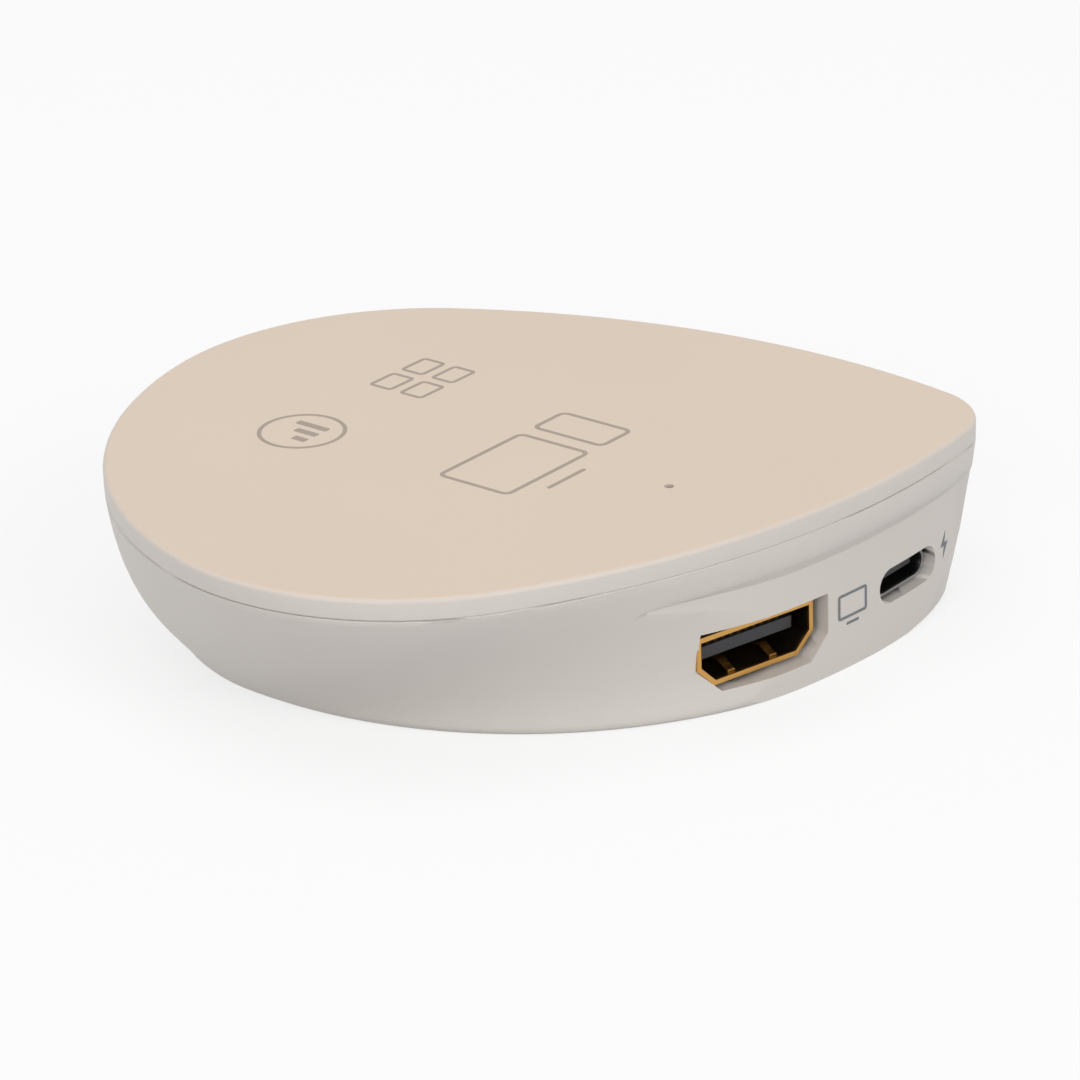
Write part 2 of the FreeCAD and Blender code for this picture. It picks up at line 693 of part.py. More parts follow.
circle(collar, size("led_x"), size("led_y"), "Sizes.pipe_radius + Sizes.pipe_gap")
feature(cover, "Pad", "pipe_collar", collar, size("pipe_socket_depth"), flip=True)
pinhole = new_sketch(cover, "pinhole_plan", "XY_Plane", z=size("overall_height"))
circle(pinhole, size("led_x"), size("led_y"), size("led_hole_radius"))
feature(cover, "Pocket", "pinhole", pinhole, size("cover_thickness"))

# Light pipe: a stem under the pinhole, a bridge over the display socket, a leg above the light
pipe = new_body("light_pipe")
stem = new_sketch(pipe, "stem_plan", "XY_Plane", z=size("pipe_bridge_level"))
circle(stem, "0", "0", size("pipe_radius"))
feature(pipe, "Pad", "stem", stem, "%s - Sizes.pipe_bridge_level" % COVER_INSIDE)
bridge = new_sketch(pipe, "bridge_plan", "XY_Plane", z=size("pipe_bridge_level"))
rectangle(bridge, "0", "Sizes.led_shift / 2", "2 * Sizes.pipe_radius", size("led_shift"))
feature(pipe, "Pad", "bridge", bridge, size("pipe_bridge_height"))
leg_top = "(Sizes.pipe_bridge_level + Sizes.pipe_bridge_height)"
leg_foot = "(%s + Sizes.led_height + Sizes.pipe_gap)" % BOARD_TOP
pipe_leg = new_sketch(pipe, "pipe_leg_plan", "XY_Plane", z=leg_foot)
circle(pipe_leg, "0", size("led_shift"), size("pipe_radius"))
feature(pipe, "Pad", "pipe_leg", pipe_leg, "%s - %s" % (leg_top, leg_foot))
place(pipe, size("led_x"), size("led_y"), "0", size("display_turn"))

# Main board, notched round the display socket
board = new_body("main_board")
board_plan = outline(board, "board_plan", size("board_underside"), size("board_inset"),
                     size("flank_easing"))
feature(board, "Pad", "board_plate", board_plan, size("board_thickness"))
display_front = "(%s - Sizes.display_setback)" % PANEL_RADIUS
notch_depth = "(Sizes.display_shell_depth + Sizes.board_gap)"
notch_x, notch_y = from_flank("%s - %s / 2" % (display_front, notch_depth), size("display_turn"))
notch = new_sketch(board, "notch_plan", "XY_Plane", notch_x, notch_y, BOARD_TOP,
                   size("display_turn"), FreeCAD.Vector(0, 0, 1))
rectangle(notch, "0", "0", "Sizes.display_shell_width + 2 * Sizes.board_gap", notch_depth)
feature(board, "Pocket", "display_notch", notch, "2 * Sizes.board_thickness")
holes = new_sketch(board, "board_hole_plan", "XY_Plane", z=BOARD_TOP)
for x, y in SCREWS:
    circle(holes, x, y, size("board_hole"))
for x, y in POSTS:
    circle(holes, x, y, "%s + Sizes.tube_board_gap" % TUBE_RADIUS)
leg_reach = "(Sizes.sink_side / 2 - Sizes.sink_leg_inset)"
LEGS = [("Sizes.processor_x + %s" % leg_reach, "Sizes.processor_y + %s" % leg_reach),
        ("Sizes.processor_x - %s" % leg_reach, "Sizes.processor_y - %s" % leg_reach)]
for x, y in LEGS:
    circle(holes, x, y, "Sizes.sink_leg_radius + Sizes.sink_leg_gap")
feature(board, "Pocket", "board_holes", holes, "2 * Sizes.board_thickness")

# Display socket
display_x, display_y = from_flank(display_front, size("display_turn"))
shell = new_body("display_socket_shell")
shell_plan = new_sketch(shell, "shell_plan", "XZ_Plane")
bevelled(shell_plan, size("display_shell_width"), size("display_shell_height"),
         size("display_shell_bevel"))
feature(shell, "Pad", "shell_body", shell_plan, size("display_shell_depth"), flip=True)
wings = new_sketch(shell, "wing_plan", "XY_Plane", z="%s - Sizes.display_level" % BOARD_TOP)
rectangle(wings, "0", "Sizes.display_wing_setback + Sizes.display_wing_length / 2",
          "Sizes.display_shell_width + 2 * Sizes.display_wing_width", size("display_wing_length"))
feature(shell, "Pad", "shell_wings", wings, size("display_wing_thickness"))
mouth = new_sketch(shell, "mouth_plan", "XZ_Plane")
bevelled(mouth, size("display_mouth_width"), size("display_mouth_height"),
         size("display_mouth_bevel"))
shell_back = "(Sizes.display_shell_width - Sizes.display_mouth_width) / 2"
feature(shell, "Pocket", "shell_mouth", mouth, "Sizes.display_shell_depth - %s" % shell_back)
place(shell, display_x, display_y, size("display_level"), size("display_turn"))

block = new_body("display_socket_insulator")
block_front = "(Sizes.display_shell_depth - %s - Sizes.display_block_depth)" % shell_back
block_plan = new_sketch(block, "block_plan", "XZ_Plane", z="-%s" % block_front)
bevelled(block_plan, size("display_mouth_width"), size("display_mouth_height"),
         size("display_mouth_bevel"))
feature(block, "Pad", "rear_block", block_plan, size("display_block_depth"), flip=True)
tongue = new_sketch(block, "tongue_plan", "XZ_Plane", y=size("display_tongue_lift"),
                    z="-Sizes.display_tongue_setback")
rectangle(tongue, "0", "0", size("display_tongue_width"), size("display_tongue_thickness"))
feature(block, "Pad", "tongue", tongue, "%s - Sizes.display_tongue_setback" % block_front, flip=True)
place(block, display_x, display_y, size("display_level"), size("display_turn"))


def contact_row(body, name, tag, level, count, upside=True):
    """Row of flat contacts on one face of a socket tongue."""
    pitch = "Sizes.%s_contact_pitch" % tag
    start = "-%s * (%s - 1) / 2" % (pitch, count)
    row = new_sketch(body, name, "XY_Plane", z=level)
    along_tongue = ("Sizes.%s_tongue_setback + Sizes.%s_contact_setback"
                    " + Sizes.%s_contact_length / 2" % (tag, tag, tag))
    rectangle(row, start, along_tongue, "Sizes.%s_contact_width" % tag,
              "Sizes.%s_contact_length" % tag)
    strip = feature(body, "Pad", name + "_strip", row, "Sizes.%s_contact_thickness" % tag,
                    flip=not upside)
    repeat(body, name + "_row", strip, "X_Axis", pitch, count)


tongue_half = "Sizes.display_tongue_thickness / 2"
pins = new_body("display_socket_contacts", several=True)
contact_row(pins, "upper", "display", "Sizes.display_tongue_lift + %s" % tongue_half,
            size("display_upper_contacts"))
contact_row(pins, "lower", "display", "Sizes.display_tongue_lift - %s" % tongue_half,
            size("display_lower_contacts"), upside=False)
place(pins, display_x, display_y, size("display_level"), size("display_turn"))

# Power socket
power_x, power_y = from_flank("(%s - Sizes.power_setback)" % PANEL_RADIUS, size("power_turn"))
can = new_body("power_socket_shell")
can_plan = new_sketch(can, "can_plan", "XZ_Plane")
stadium(can_plan, size("power_shell_width"), size("power_shell_height"))
feature(can, "Pad", "can_body", can_plan, size("power_shell_depth"), flip=True)
can_mouth = new_sketch(can, "can_mouth", "XZ_Plane")
stadium(can_mouth, "Sizes.power_shell_width - 2 * Sizes.power_shell_wall",
        "Sizes.power_shell_height - 2 * Sizes.power_shell_wall")
feature(can, "Pocket", "can_hollow", can_mouth, "Sizes.power_shell_depth - Sizes.power_shell_wall")
place(can, power_x, power_y, size("power_level"), size("power_turn"))

core = new_body("power_socket_insulator")
core_front = "(Sizes.power_shell_depth - Sizes.power_shell_wall - Sizes.power_block_depth)"
core_plan = new_sketch(core, "core_plan", "XZ_Plane", z="-%s" % core_front)
stadium(core_plan, "Sizes.power_shell_width - 2 * Sizes.power_shell_wall",
        "Sizes.power_shell_height - 2 * Sizes.power_shell_wall")
feature(core, "Pad", "core_block", core_plan, size("power_block_depth"), flip=True)
power_tongue = new_sketch(core, "power_tongue_plan", "XZ_Plane", z="-Sizes.power_tongue_setback")
rectangle(power_tongue, "0", "0", size("power_tongue_width"), size("power_tongue_thickness"))
feature(core, "Pad", "power_tongue", power_tongue, "%s - Sizes.power_tongue_setback" % core_front,
        flip=True)
place(core, power_x, power_y, size("power_level"), size("power_turn"))

leaves = new_body("power_socket_contacts", several=True)
for name, upside in (("top_side", True), ("under_side", False)):
    face = "%s Sizes.power_tongue_thickness / 2" % ("" if upside else "-")
    contact_row(leaves, name, "power", face, size("power_contacts_per_row"), upside)
place(leaves, power_x, power_y, size("power_level"), size("power_turn"))


# Parts standing on the board
def package(label, spots, length, width, height, several=False):
    """Flat packages of one size, set out in plan at the given spots."""
    body = new_body(label, several)
    plan = new_sketch(body, label + "_plan", "XY_Plane")
    for x, y in spots:
        rectangle(plan, x, y, length, width)
    feature(body, "Pad", label + "_case", plan, height)
    return body


def spots_in_row(tag, count, axis="x"):
    """Offsets of a row of equal parts from the first one."""
    step = "Sizes.%s_step" % tag
    places = []
    for i in range(count):
        offset = "%s * %d" % (step, i)
        places.append((offset, "0") if axis == "x" else ("0", offset))
    return places


def on_board(body, tag, level=BOARD_TOP):
    place(body, "Sizes.%s_x" % tag, "Sizes.%s_y" % tag, level)


CENTRE = [("0", "0")]
processor = package("processor_chip", CENTRE, size("processor_side"), size("processor_side"),
                    size("processor_height"))
on_board(processor, "processor")
pad_level = "%s + Sizes.processor_height" % BOARD_TOP
gap_pad = package("thermal_pad", CENTRE, size("pad_side"), size("pad_side"),
                  size("pad_height"))
on_board(gap_pad, "processor", pad_level)

sink_level = "(%s + Sizes.pad_height)" % pad_level
sink = new_body("heat_sink")
sink_plan = new_sketch(sink, "sink_plan", "XY_Plane")
rectangle(sink_plan, "0", "0", size("sink_side"), size("sink_side"))
feature(sink, "Pad", "sink_base", sink_plan, size("sink_base"))
fin_plan = new_sketch(sink, "fin_plan", "XY_Plane", z=size("sink_base"))
rectangle(fin_plan, "(Sizes.sink_fin_thickness - Sizes.sink_side) / 2", "0",
          size("sink_fin_thickness"), size("sink_side"))
fin = feature(sink, "Pad", "fin", fin_plan, "Sizes.sink_height - Sizes.sink_base")
repeat(sink, "fins", fin, "X_Axis",
       "(Sizes.sink_side - Sizes.sink_fin_thickness) / (Sizes.sink_fins - 1)", size("sink_fins"))
legs = new_sketch(sink, "leg_plan", "XY_Plane")
for sign in ("", "-"):
    circle(legs, sign + leg_reach, sign + leg_reach, size("sink_leg_radius"))
leg = feature(sink, "Pad", "legs", legs, "%s - Sizes.board_underside" % sink_level, flip=True)
sink.Tip = leg
on_board(sink, "processor", sink_level)

memory = package("memory_chips", spots_in_row("memory", 2, "y"), size("memory_length"),
                 size("memory_width"), size("memory_height"), several=True)
on_board(memory, "memory")
flash = package("flash_chip", CENTRE, size("flash_length"), size("flash_width"),
                size("flash_height"))
on_board(flash, "flash")
radio = package("radio_module_board", CENTRE, size("radio_length"), size("radio_width"),
                size("radio_board_thickness"))
on_board(radio, "radio")
radio_top = "%s + Sizes.radio_board_thickness" % BOARD_TOP
shield = package("radio_shield_can", CENTRE, "Sizes.radio_length - 2 * Sizes.can_inset",
                 "Sizes.radio_width - 2 * Sizes.can_inset", size("can_height"))
shield_inside = new_sketch(shield, "shield_inside", "XY_Plane")
rectangle(shield_inside, "0", "0",
          "Sizes.radio_length - 2 * Sizes.can_inset - 2 * Sizes.can_wall",
          "Sizes.radio_width - 2 * Sizes.can_inset - 2 * Sizes.can_wall")
feature(shield, "Pocket", "shield_hollow", shield_inside, "Sizes.can_height - Sizes.can_wall",
        flip=True)
on_board(shield, "radio", radio_top)

for label, sign in (("antenna_left", ""), ("antenna_right", "-")):
    antenna = new_body(label)
    side = new_sketch(antenna, label + "_side", "XZ_Plane")
    half = "Sizes.antenna_length / 2"
    arm = "Sizes.antenna_height - Sizes.antenna_arm"
    polygon(side, [
        ("-" + half, "0"), ("-%s + Sizes.antenna_foot" % half, "0"),
        ("-%s + Sizes.antenna_foot" % half, arm), (half, arm),
        (half, size("antenna_height")), ("-" + half, size("antenna_height"))])
    feature(antenna, "Pad", label + "_strip", side, size("antenna_thickness"), middle=True)
    place(antenna, size("antenna_x"), sign + size("antenna_y"), BOARD_TOP)

coils = package("power_inductors", spots_in_row("inductor", 2), size("inductor_side"),
                size("inductor_side"), size("inductor_height"), several=True)
on_board(coils, "inductor")
regulators = package("power_regulators", spots_in_row("regulator", 2), size("regulator_side"),
                     size("regulator_side"), size("regulator_height"), several=True)
on_board(regulators, "regulator")
bulk = new_body("bulk_capacitors", several=True)
bulk_plan = new_sketch(bulk, "bulk_plan", "XY_Plane")
circle(bulk_plan, "0", "0", size("bulk_radius"))
drum = feature(bulk, "Pad", "drum", bulk_plan, size("bulk_height"))
repeat(bulk, "drums", drum, "X_Axis", size("bulk_step"), size("bulk_count"))
on_board(bulk, "bulk")
ceramic = new_body("ceramic_capacitors", several=True)
ceramic_plan = new_sketch(ceramic, "ceramic_plan", "XY_Plane")
rectangle(ceramic_plan, "0", "0", size("ceramic_length"), size("ceramic_width"))
grain = feature(ceramic, "Pad", "grain", ceramic_plan, size("ceramic_height"))
repeat(ceramic, "grains", grain, "X_Axis", size("ceramic_step"), size("ceramic_count"))
on_board(ceramic, "ceramic")
crystal = package("crystal", CENTRE, size("crystal_length"), size("crystal_width"),
                  size("crystal_height"))
on_board(crystal, "crystal")
led = package("status_led", [("0", size("led_shift"))], size("led_length"), size("led_width"),
              size("led_height"))
place(led, size("led_x"), size("led_y"), BOARD_TOP, size("display_turn"))

# Board screws
screws = new_body("board_screws", several=True)
heads = new_sketch(screws, "head_plan", "XY_Plane", z=BOARD_TOP)
shanks = new_sketch(screws, "shank_plan", "XY_Plane", z=BOARD_TOP)
recesses = new_sketch(screws, "recess_plan", "XY_Plane",
                      z="%s + Sizes.screw_head_height" % BOARD_TOP)
for x, y in SCREWS:
    circle(heads, x, y, size("screw_head"))
    circle(shanks, x, y, size("screw_shank"))
    cross(recesses, x, y, size("screw_recess"), size("screw_recess_width"))
feature(screws, "Pad", "heads", heads, size("screw_head_height"))
feature(screws, "Pad", "shanks", shanks, "Sizes.board_thickness + Sizes.screw_shank_length",
        flip=True)
feature(screws, "Pocket", "recesses", recesses, size("screw_recess_depth"))

# Check every object, then write one file per piece
doc.recompute()
for item in doc.Objects:
    if "Invalid" in item.State or "Error" in item.State:
        raise ValueError("%s is %s" % (item.Name, item.State))
os.makedirs("parts", exist_ok=True)
for body in doc.Objects:
    if body.TypeId != "PartDesign::Body":
        continue
    if body.Shape.isNull() or not body.Shape.isValid():
        raise ValueError("%s has no sound shape" % body.Label)
    body.Shape.exportStep("parts/%s.step" % body.Label)
    box = body.Shape.BoundBox
    print(body.Label, len(body.Shape.Solids), round(body.Shape.Volume, 1),
          [round(v, 1) for v in (box.XMin, box.XMax, box.YMin, box.YMax, box.ZMin, box.ZMax)])
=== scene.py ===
# %% [markdown]
# # A wireless display dongle
# The real thing is a flat puck that lies on a table: a narrow tip, a round end, and two
# sockets side by side in a flank. It is two satin plastic mouldings round a circuit board.
# The solids are already built, so this lesson loads them, then adds what the eye notices:
# finishes, printed marks, and the small metal parts inside the socket mouths.

# %% Load the solids
import json
import math
import bpy
from mathutils import Matrix, Vector


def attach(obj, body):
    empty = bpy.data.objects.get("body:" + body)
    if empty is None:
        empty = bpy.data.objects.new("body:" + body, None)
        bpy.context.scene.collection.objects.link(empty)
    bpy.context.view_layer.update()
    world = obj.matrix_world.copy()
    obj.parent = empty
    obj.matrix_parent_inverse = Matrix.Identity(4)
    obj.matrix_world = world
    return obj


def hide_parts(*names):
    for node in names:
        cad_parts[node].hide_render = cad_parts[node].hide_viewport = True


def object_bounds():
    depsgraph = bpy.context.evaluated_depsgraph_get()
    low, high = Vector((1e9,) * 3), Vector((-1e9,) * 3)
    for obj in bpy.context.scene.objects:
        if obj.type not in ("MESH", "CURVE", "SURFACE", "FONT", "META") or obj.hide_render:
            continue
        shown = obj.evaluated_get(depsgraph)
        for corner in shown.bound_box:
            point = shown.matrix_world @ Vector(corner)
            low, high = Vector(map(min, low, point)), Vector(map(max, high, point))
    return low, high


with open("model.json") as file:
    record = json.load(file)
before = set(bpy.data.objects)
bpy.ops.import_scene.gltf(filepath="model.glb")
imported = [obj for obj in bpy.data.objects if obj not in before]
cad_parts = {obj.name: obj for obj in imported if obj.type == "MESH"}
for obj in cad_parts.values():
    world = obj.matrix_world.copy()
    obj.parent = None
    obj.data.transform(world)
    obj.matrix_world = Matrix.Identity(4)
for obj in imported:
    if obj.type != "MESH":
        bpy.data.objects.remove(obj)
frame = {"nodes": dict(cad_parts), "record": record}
nodes = frame["nodes"]
solid_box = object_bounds()
MM = 0.001
print("solids:", len(nodes))

# %% [markdown]
# ## The camera
# The photograph was taken from far away with a long lens, looking down at about 24 degrees,
# so near and far edges look almost the same size. A 150 mm lens gives that flat look. The
# camera is a little out of level, as a hand-placed one is.

# %% Place the camera
TURN, PITCH, ROLL = math.radians(3.4), math.radians(23.73), math.radians(2.0)
LENS, SENSOR, NEAR = 150, 36, 0.01
CAMERA_AT = (-26.0, -428.6, 196.7)
forward = Vector((math.sin(TURN) * math.cos(PITCH), math.cos(TURN) * math.cos(PITCH),
                  -math.sin(PITCH)))
level = Vector((math.cos(TURN), -math.sin(TURN), 0))
below = forward.cross(level)
right = math.cos(ROLL) * level + math.sin(ROLL) * below
down = math.cos(ROLL) * below - math.sin(ROLL) * level
lens = bpy.data.cameras.new("photo_lens")
lens.lens = LENS
lens.sensor_width = SENSOR
lens.clip_start = NEAR
camera = bpy.data.objects.new("photo_camera", lens)
bpy.context.scene.collection.objects.link(camera)
camera.matrix_world = Matrix((
    (right.x, -down.x, -forward.x, CAMERA_AT[0] * MM),
    (right.y, -down.y, -forward.y, CAMERA_AT[1] * MM),
    (right.z, -down.z, -forward.z, CAMERA_AT[2] * MM),
    (0, 0, 0, 1)))
bpy.context.scene.camera = camera
print("camera at", [round(v, 3) for v in camera.location])

# %% [markdown]
# ## Helpers for finishes
# A colour is given as an sRGB number, and the renderer counts in linear light, so one
# function turns one into the other. A second function adds a shader node with its settings
# and its links, which keeps every material readable from top to bottom.


# %% Colour and node helpers
def linear(hex_colour):
    values = [int(hex_colour[i:i + 2], 16) / 255 for i in (1, 3, 5)]
    return tuple(v / 12.92 if v <= 0.04045 else ((v + 0.055) / 1.055) ** 2.4
                 for v in values) + (1,)


def add(tree, kind, settings=None, inputs=None):
    node = tree.nodes.new(kind)
    for name, value in (settings or {}).items():
        setattr(node, name, value)
    for name, value in (inputs or {}).items():
        if isinstance(value, bpy.types.NodeSocket):
            tree.links.new(value, node.inputs[name])
        else:
            node.inputs[name].default_value = value
    return node


def new_material(name):
    material = bpy.data.materials.new(name)
    material.use_nodes = True
    material.node_tree.nodes.clear()
    return material, material.node_tree


def finish(tree, shader):
    add(tree, "ShaderNodeOutputMaterial", inputs={"Surface": shader.outputs[0]})


print("mid grey in linear light:", round(linear("#808080")[0], 3))


# %% [markdown]
# ## Moulded plastic
# Satin ABS comes out of a spark-eroded mould, which leaves a fine even grain of about a
# tenth of a millimetre. The eye reads it as softness: highlights spread, and the colour
# drifts very slightly from place to place. A fine noise drives the bump, and a broad one
# moves the colour a percent or two. The grain is drawn at 0.25 mm so that it shows.


# %% Moulded plastic
BARE, BARE_SHADE = "#D4CEC8", "#CFC9C3"
ABS_GRAIN, ABS_DEPTH, ABS_DRIFT = 0.25, 0.02, 30
SATIN, SMOOTHER, ROUGHER, BUMP = 0.42, 0.05, 0.07, 0.35


def drifting(tree, place, colour, shade, drift_mm):
    drift = add(tree, "ShaderNodeTexNoise", inputs={
        "Vector": place, "Scale": 1000 / drift_mm, "Detail": 3})
    return add(tree, "ShaderNodeMix", {"data_type": "RGBA"}, {
        0: drift.outputs["Fac"], 6: linear(colour), 7: linear(shade)})


def grained(tree, place, tint, roughness, grain_mm, depth_mm):
    grain = add(tree, "ShaderNodeTexNoise", inputs={
        "Vector": place, "Scale": 1000 / grain_mm, "Detail": 2, "Roughness": 0.6})
    matt = add(tree, "ShaderNodeMapRange", inputs={
        "Value": grain.outputs["Fac"],
        "To Min": roughness - SMOOTHER, "To Max": roughness + ROUGHER})
    bump = add(tree, "ShaderNodeBump", inputs={
        "Height": grain.outputs["Fac"], "Strength": BUMP, "Distance": depth_mm * MM})
    return add(tree, "ShaderNodeBsdfPrincipled", inputs={
        "Base Color": tint.outputs[2], "Roughness": matt.outputs[0],
        "Normal": bump.outputs[0], "IOR": 1.5})


def moulded(name, colour, shade, roughness, grain_mm, depth_mm, drift_mm):
    material, tree = new_material(name)
    place = add(tree, "ShaderNodeTexCoord").outputs["Object"]
    tint = drifting(tree, place, colour, shade, drift_mm)
    finish(tree, grained(tree, place, tint, roughness, grain_mm, depth_mm))
    return material


side_abs = moulded("satin_abs_pale_grey", BARE, BARE_SHADE, SATIN,
                   ABS_GRAIN, ABS_DEPTH, ABS_DRIFT)
print("moulded:", side_abs.name)

# %% [markdown]
# The cover is one moulding. Its top face alone takes a soft champagne colour, which is
# painted warm light: it stands in for the warm light that falls on the top from above. At
# the rim, before the bare grey skirt, a paler line is a painted highlight where the rounded
# edge catches the light. The height of a point decides its colour, so the line runs evenly
# all the way round.

# %% Cover with painted warm light and highlight
TOP_Z = solid_box[1][2]
# The warm top colour is painted warm light, for the light that falls on the top from above, and
# the rim colour is a painted highlight along the rounded edge.
HIGHLIGHT_LOW, HIGHLIGHT_HIGH, WARM_TOP_LOW, WARM_TOP_HIGH = 0.50, 0.25, 0.12, 0.01
WARM_TOP, WARM_TOP_SHADE, RIM_HIGHLIGHT, COVER_ROUGHNESS = "#DAC8B6", "#D6C3B0", "#D2C8BE", 0.41


def cover_with_painted_light(name):
    material, tree = new_material(name)
    place = add(tree, "ShaderNodeTexCoord").outputs["Object"]
    height = add(tree, "ShaderNodeSeparateXYZ", inputs={"Vector": place})
    # Painted warm light: the top face is coloured warmer than the bare skirt.
    painted = drifting(tree, place, WARM_TOP, WARM_TOP_SHADE, ABS_DRIFT)
    plain = drifting(tree, place, BARE, BARE_SHADE, ABS_DRIFT)
    # Painted highlight: a paler band where the rounded rim catches the light.
    into_highlight = add(tree, "ShaderNodeMapRange", {"interpolation_type": "SMOOTHSTEP"}, {
        "Value": height.outputs["Z"],
        "From Min": TOP_Z - HIGHLIGHT_LOW * MM, "From Max": TOP_Z - HIGHLIGHT_HIGH * MM})
    on_face = add(tree, "ShaderNodeMapRange", {"interpolation_type": "SMOOTHSTEP"}, {
        "Value": height.outputs["Z"],
        "From Min": TOP_Z - WARM_TOP_LOW * MM, "From Max": TOP_Z - WARM_TOP_HIGH * MM})
    edge = add(tree, "ShaderNodeMix", {"data_type": "RGBA"}, {
        0: into_highlight.outputs[0], 6: plain.outputs[2], 7: linear(RIM_HIGHLIGHT)})
    tint = add(tree, "ShaderNodeMix", {"data_type": "RGBA"}, {
        0: on_face.outputs[0], 6: edge.outputs[2], 7: painted.outputs[2]})
    finish(tree, grained(tree, place, tint, COVER_ROUGHNESS, ABS_GRAIN, ABS_DEPTH))
    return material


top_abs = cover_with_painted_light("abs_with_painted_warm_light")
print("painted:", top_abs.name)

# %% [markdown]
# The other moulded, pressed and printed materials differ from the housing's plastic in
# colour, gloss and grain. Socket bodies are glass-filled nylon, chips are matt epoxy, the pad
# is soft silicone, and inductors are pressed from iron powder. The inks are thin and matt.

# %% Other mouldings
black_nylon = moulded("glass_filled_nylon_black", "#26262A", "#2C2C30",
                      roughness=0.32, grain_mm=0.4, depth_mm=0.01, drift_mm=5)
chip_epoxy = moulded("moulded_epoxy_black", "#232427", "#2B2C30",
                     roughness=0.55, grain_mm=0.18, depth_mm=0.015, drift_mm=3)
pad_silicone = moulded("silicone_gap_pad", "#9AA0A6", "#8F959C",
                       roughness=0.7, grain_mm=0.5, depth_mm=0.05, drift_mm=6)
iron_powder = moulded("pressed_iron_powder", "#3B3C40", "#46474B",
                      roughness=0.6, grain_mm=0.3, depth_mm=0.03, drift_mm=2)
fired_ceramic = moulded("fired_ceramic_tan", "#B79A72", "#A98C66",
                        roughness=0.5, grain_mm=0.2, depth_mm=0.01, drift_mm=1)
led_resin = moulded("pale_led_resin", "#F2EFE6", "#E6DDBB",
                    roughness=0.25, grain_mm=0.3, depth_mm=0.005, drift_mm=0.8)
print_ink = moulded("screen_print_ink", "#9E9184", "#A79A8D",
                    roughness=0.55, grain_mm=0.2, depth_mm=0.004, drift_mm=4)
label_ink = moulded("pad_print_ink", "#6E7276", "#777B7F",
                    roughness=0.55, grain_mm=0.2, depth_mm=0.004, drift_mm=4)
print("moulded and printed finishes:", len(bpy.data.materials))

# %% [markdown]
# ## Plated and drawn metal
# Springs, contacts, heat sink, cans and screws are rolled, drawn or extruded, and most are
# plated. The forming leaves faint lines along the metal, and plating leaves small cloudy
# patches. So one long stretched noise moves the gloss and the bump, and one broader noise
# moves the colour. Metals keep the default index.


# %% Metals
STRETCH = 12
CLOUD = 2.5
LINE_SMOOTHER, LINE_ROUGHER, LINE_BUMP, LINE_DEPTH = 0.08, 0.1, 0.25, 0.01


def metal(name, colour, shade, roughness, line_mm, stretch=(1, 1, STRETCH)):
    material, tree = new_material(name)
    place = add(tree, "ShaderNodeTexCoord").outputs["Object"]
    along = add(tree, "ShaderNodeMapping", inputs={"Vector": place, "Scale": stretch})
    lines = add(tree, "ShaderNodeTexNoise", inputs={
        "Vector": along.outputs[0], "Scale": 1000 / (line_mm * STRETCH), "Detail": 4})
    cloud = add(tree, "ShaderNodeTexNoise", inputs={
        "Vector": place, "Scale": 1000 / CLOUD, "Detail": 2})
    tint = add(tree, "ShaderNodeMix", {"data_type": "RGBA"}, {
        0: cloud.outputs["Fac"], 6: linear(colour), 7: linear(shade)})
    matt = add(tree, "ShaderNodeMapRange", inputs={
        "Value": lines.outputs["Fac"],
        "To Min": roughness - LINE_SMOOTHER, "To Max": roughness + LINE_ROUGHER})
    bump = add(tree, "ShaderNodeBump", inputs={
        "Height": lines.outputs["Fac"], "Strength": LINE_BUMP, "Distance": LINE_DEPTH * MM})
    shader = add(tree, "ShaderNodeBsdfPrincipled", inputs={
        "Base Color": tint.outputs[2], "Roughness": matt.outputs[0], "Metallic": 1.0,
        "Normal": bump.outputs[0]})
    finish(tree, shader)
    return material


spring_gold = metal("gold_plated_spring", "#D9A75C", "#C8954C", roughness=0.28, line_mm=0.15)
contact_plate = metal("gold_flashed_contact", "#DDB15F", "#CFA150", roughness=0.25, line_mm=0.1)
tinned_strip = metal("tinned_bronze_strip", "#C9C5B4", "#B9B5A4", roughness=0.35, line_mm=0.12)
extruded_aluminium = metal("extruded_aluminium", "#A9ADB2", "#9CA0A6",
                           roughness=0.4, line_mm=0.2, stretch=(STRETCH, 1, STRETCH))
drawn_aluminium = metal("drawn_aluminium_can", "#C4C7CA", "#B6B9BD",
                        roughness=0.3, line_mm=0.15, stretch=(STRETCH, STRETCH, 1))
zinc_screw = metal("zinc_plated_screw_steel", "#8E9194", "#7F8285", roughness=0.35, line_mm=0.1)
print("finishes so far:", len(bpy.data.materials))

# %% [markdown]
# ## Socket shells
# Both sockets stand in the same flank, which is an arc about one point of the plan. A shell
# is thin sheet, stamped, folded and plated. It keeps its own bright plate on its front edge,
# and behind, in its throat, its colour is painted darker: painted shade for the little light
# that gets into the socket. The distance of a point along the socket's own axis moves the
# colour from the one to the other.

# %% Where the sockets are
FLANK = (-26.3963, 45.4772)
PANEL = 84.7914
DISPLAY_TURN, DISPLAY_LEVEL, DISPLAY_SETBACK = 33.2, 5.85, 1.5
POWER_TURN, POWER_SETBACK = 47.9, 1.2
print("the panel is an arc of", PANEL, "mm radius")


# %% Plated shells
BRIGHT_FROM, BRIGHT_AT, PATCHY_LOW = 0.5, 0.05, 0.8
POLISHED, DULLED = 0.25, 0.4


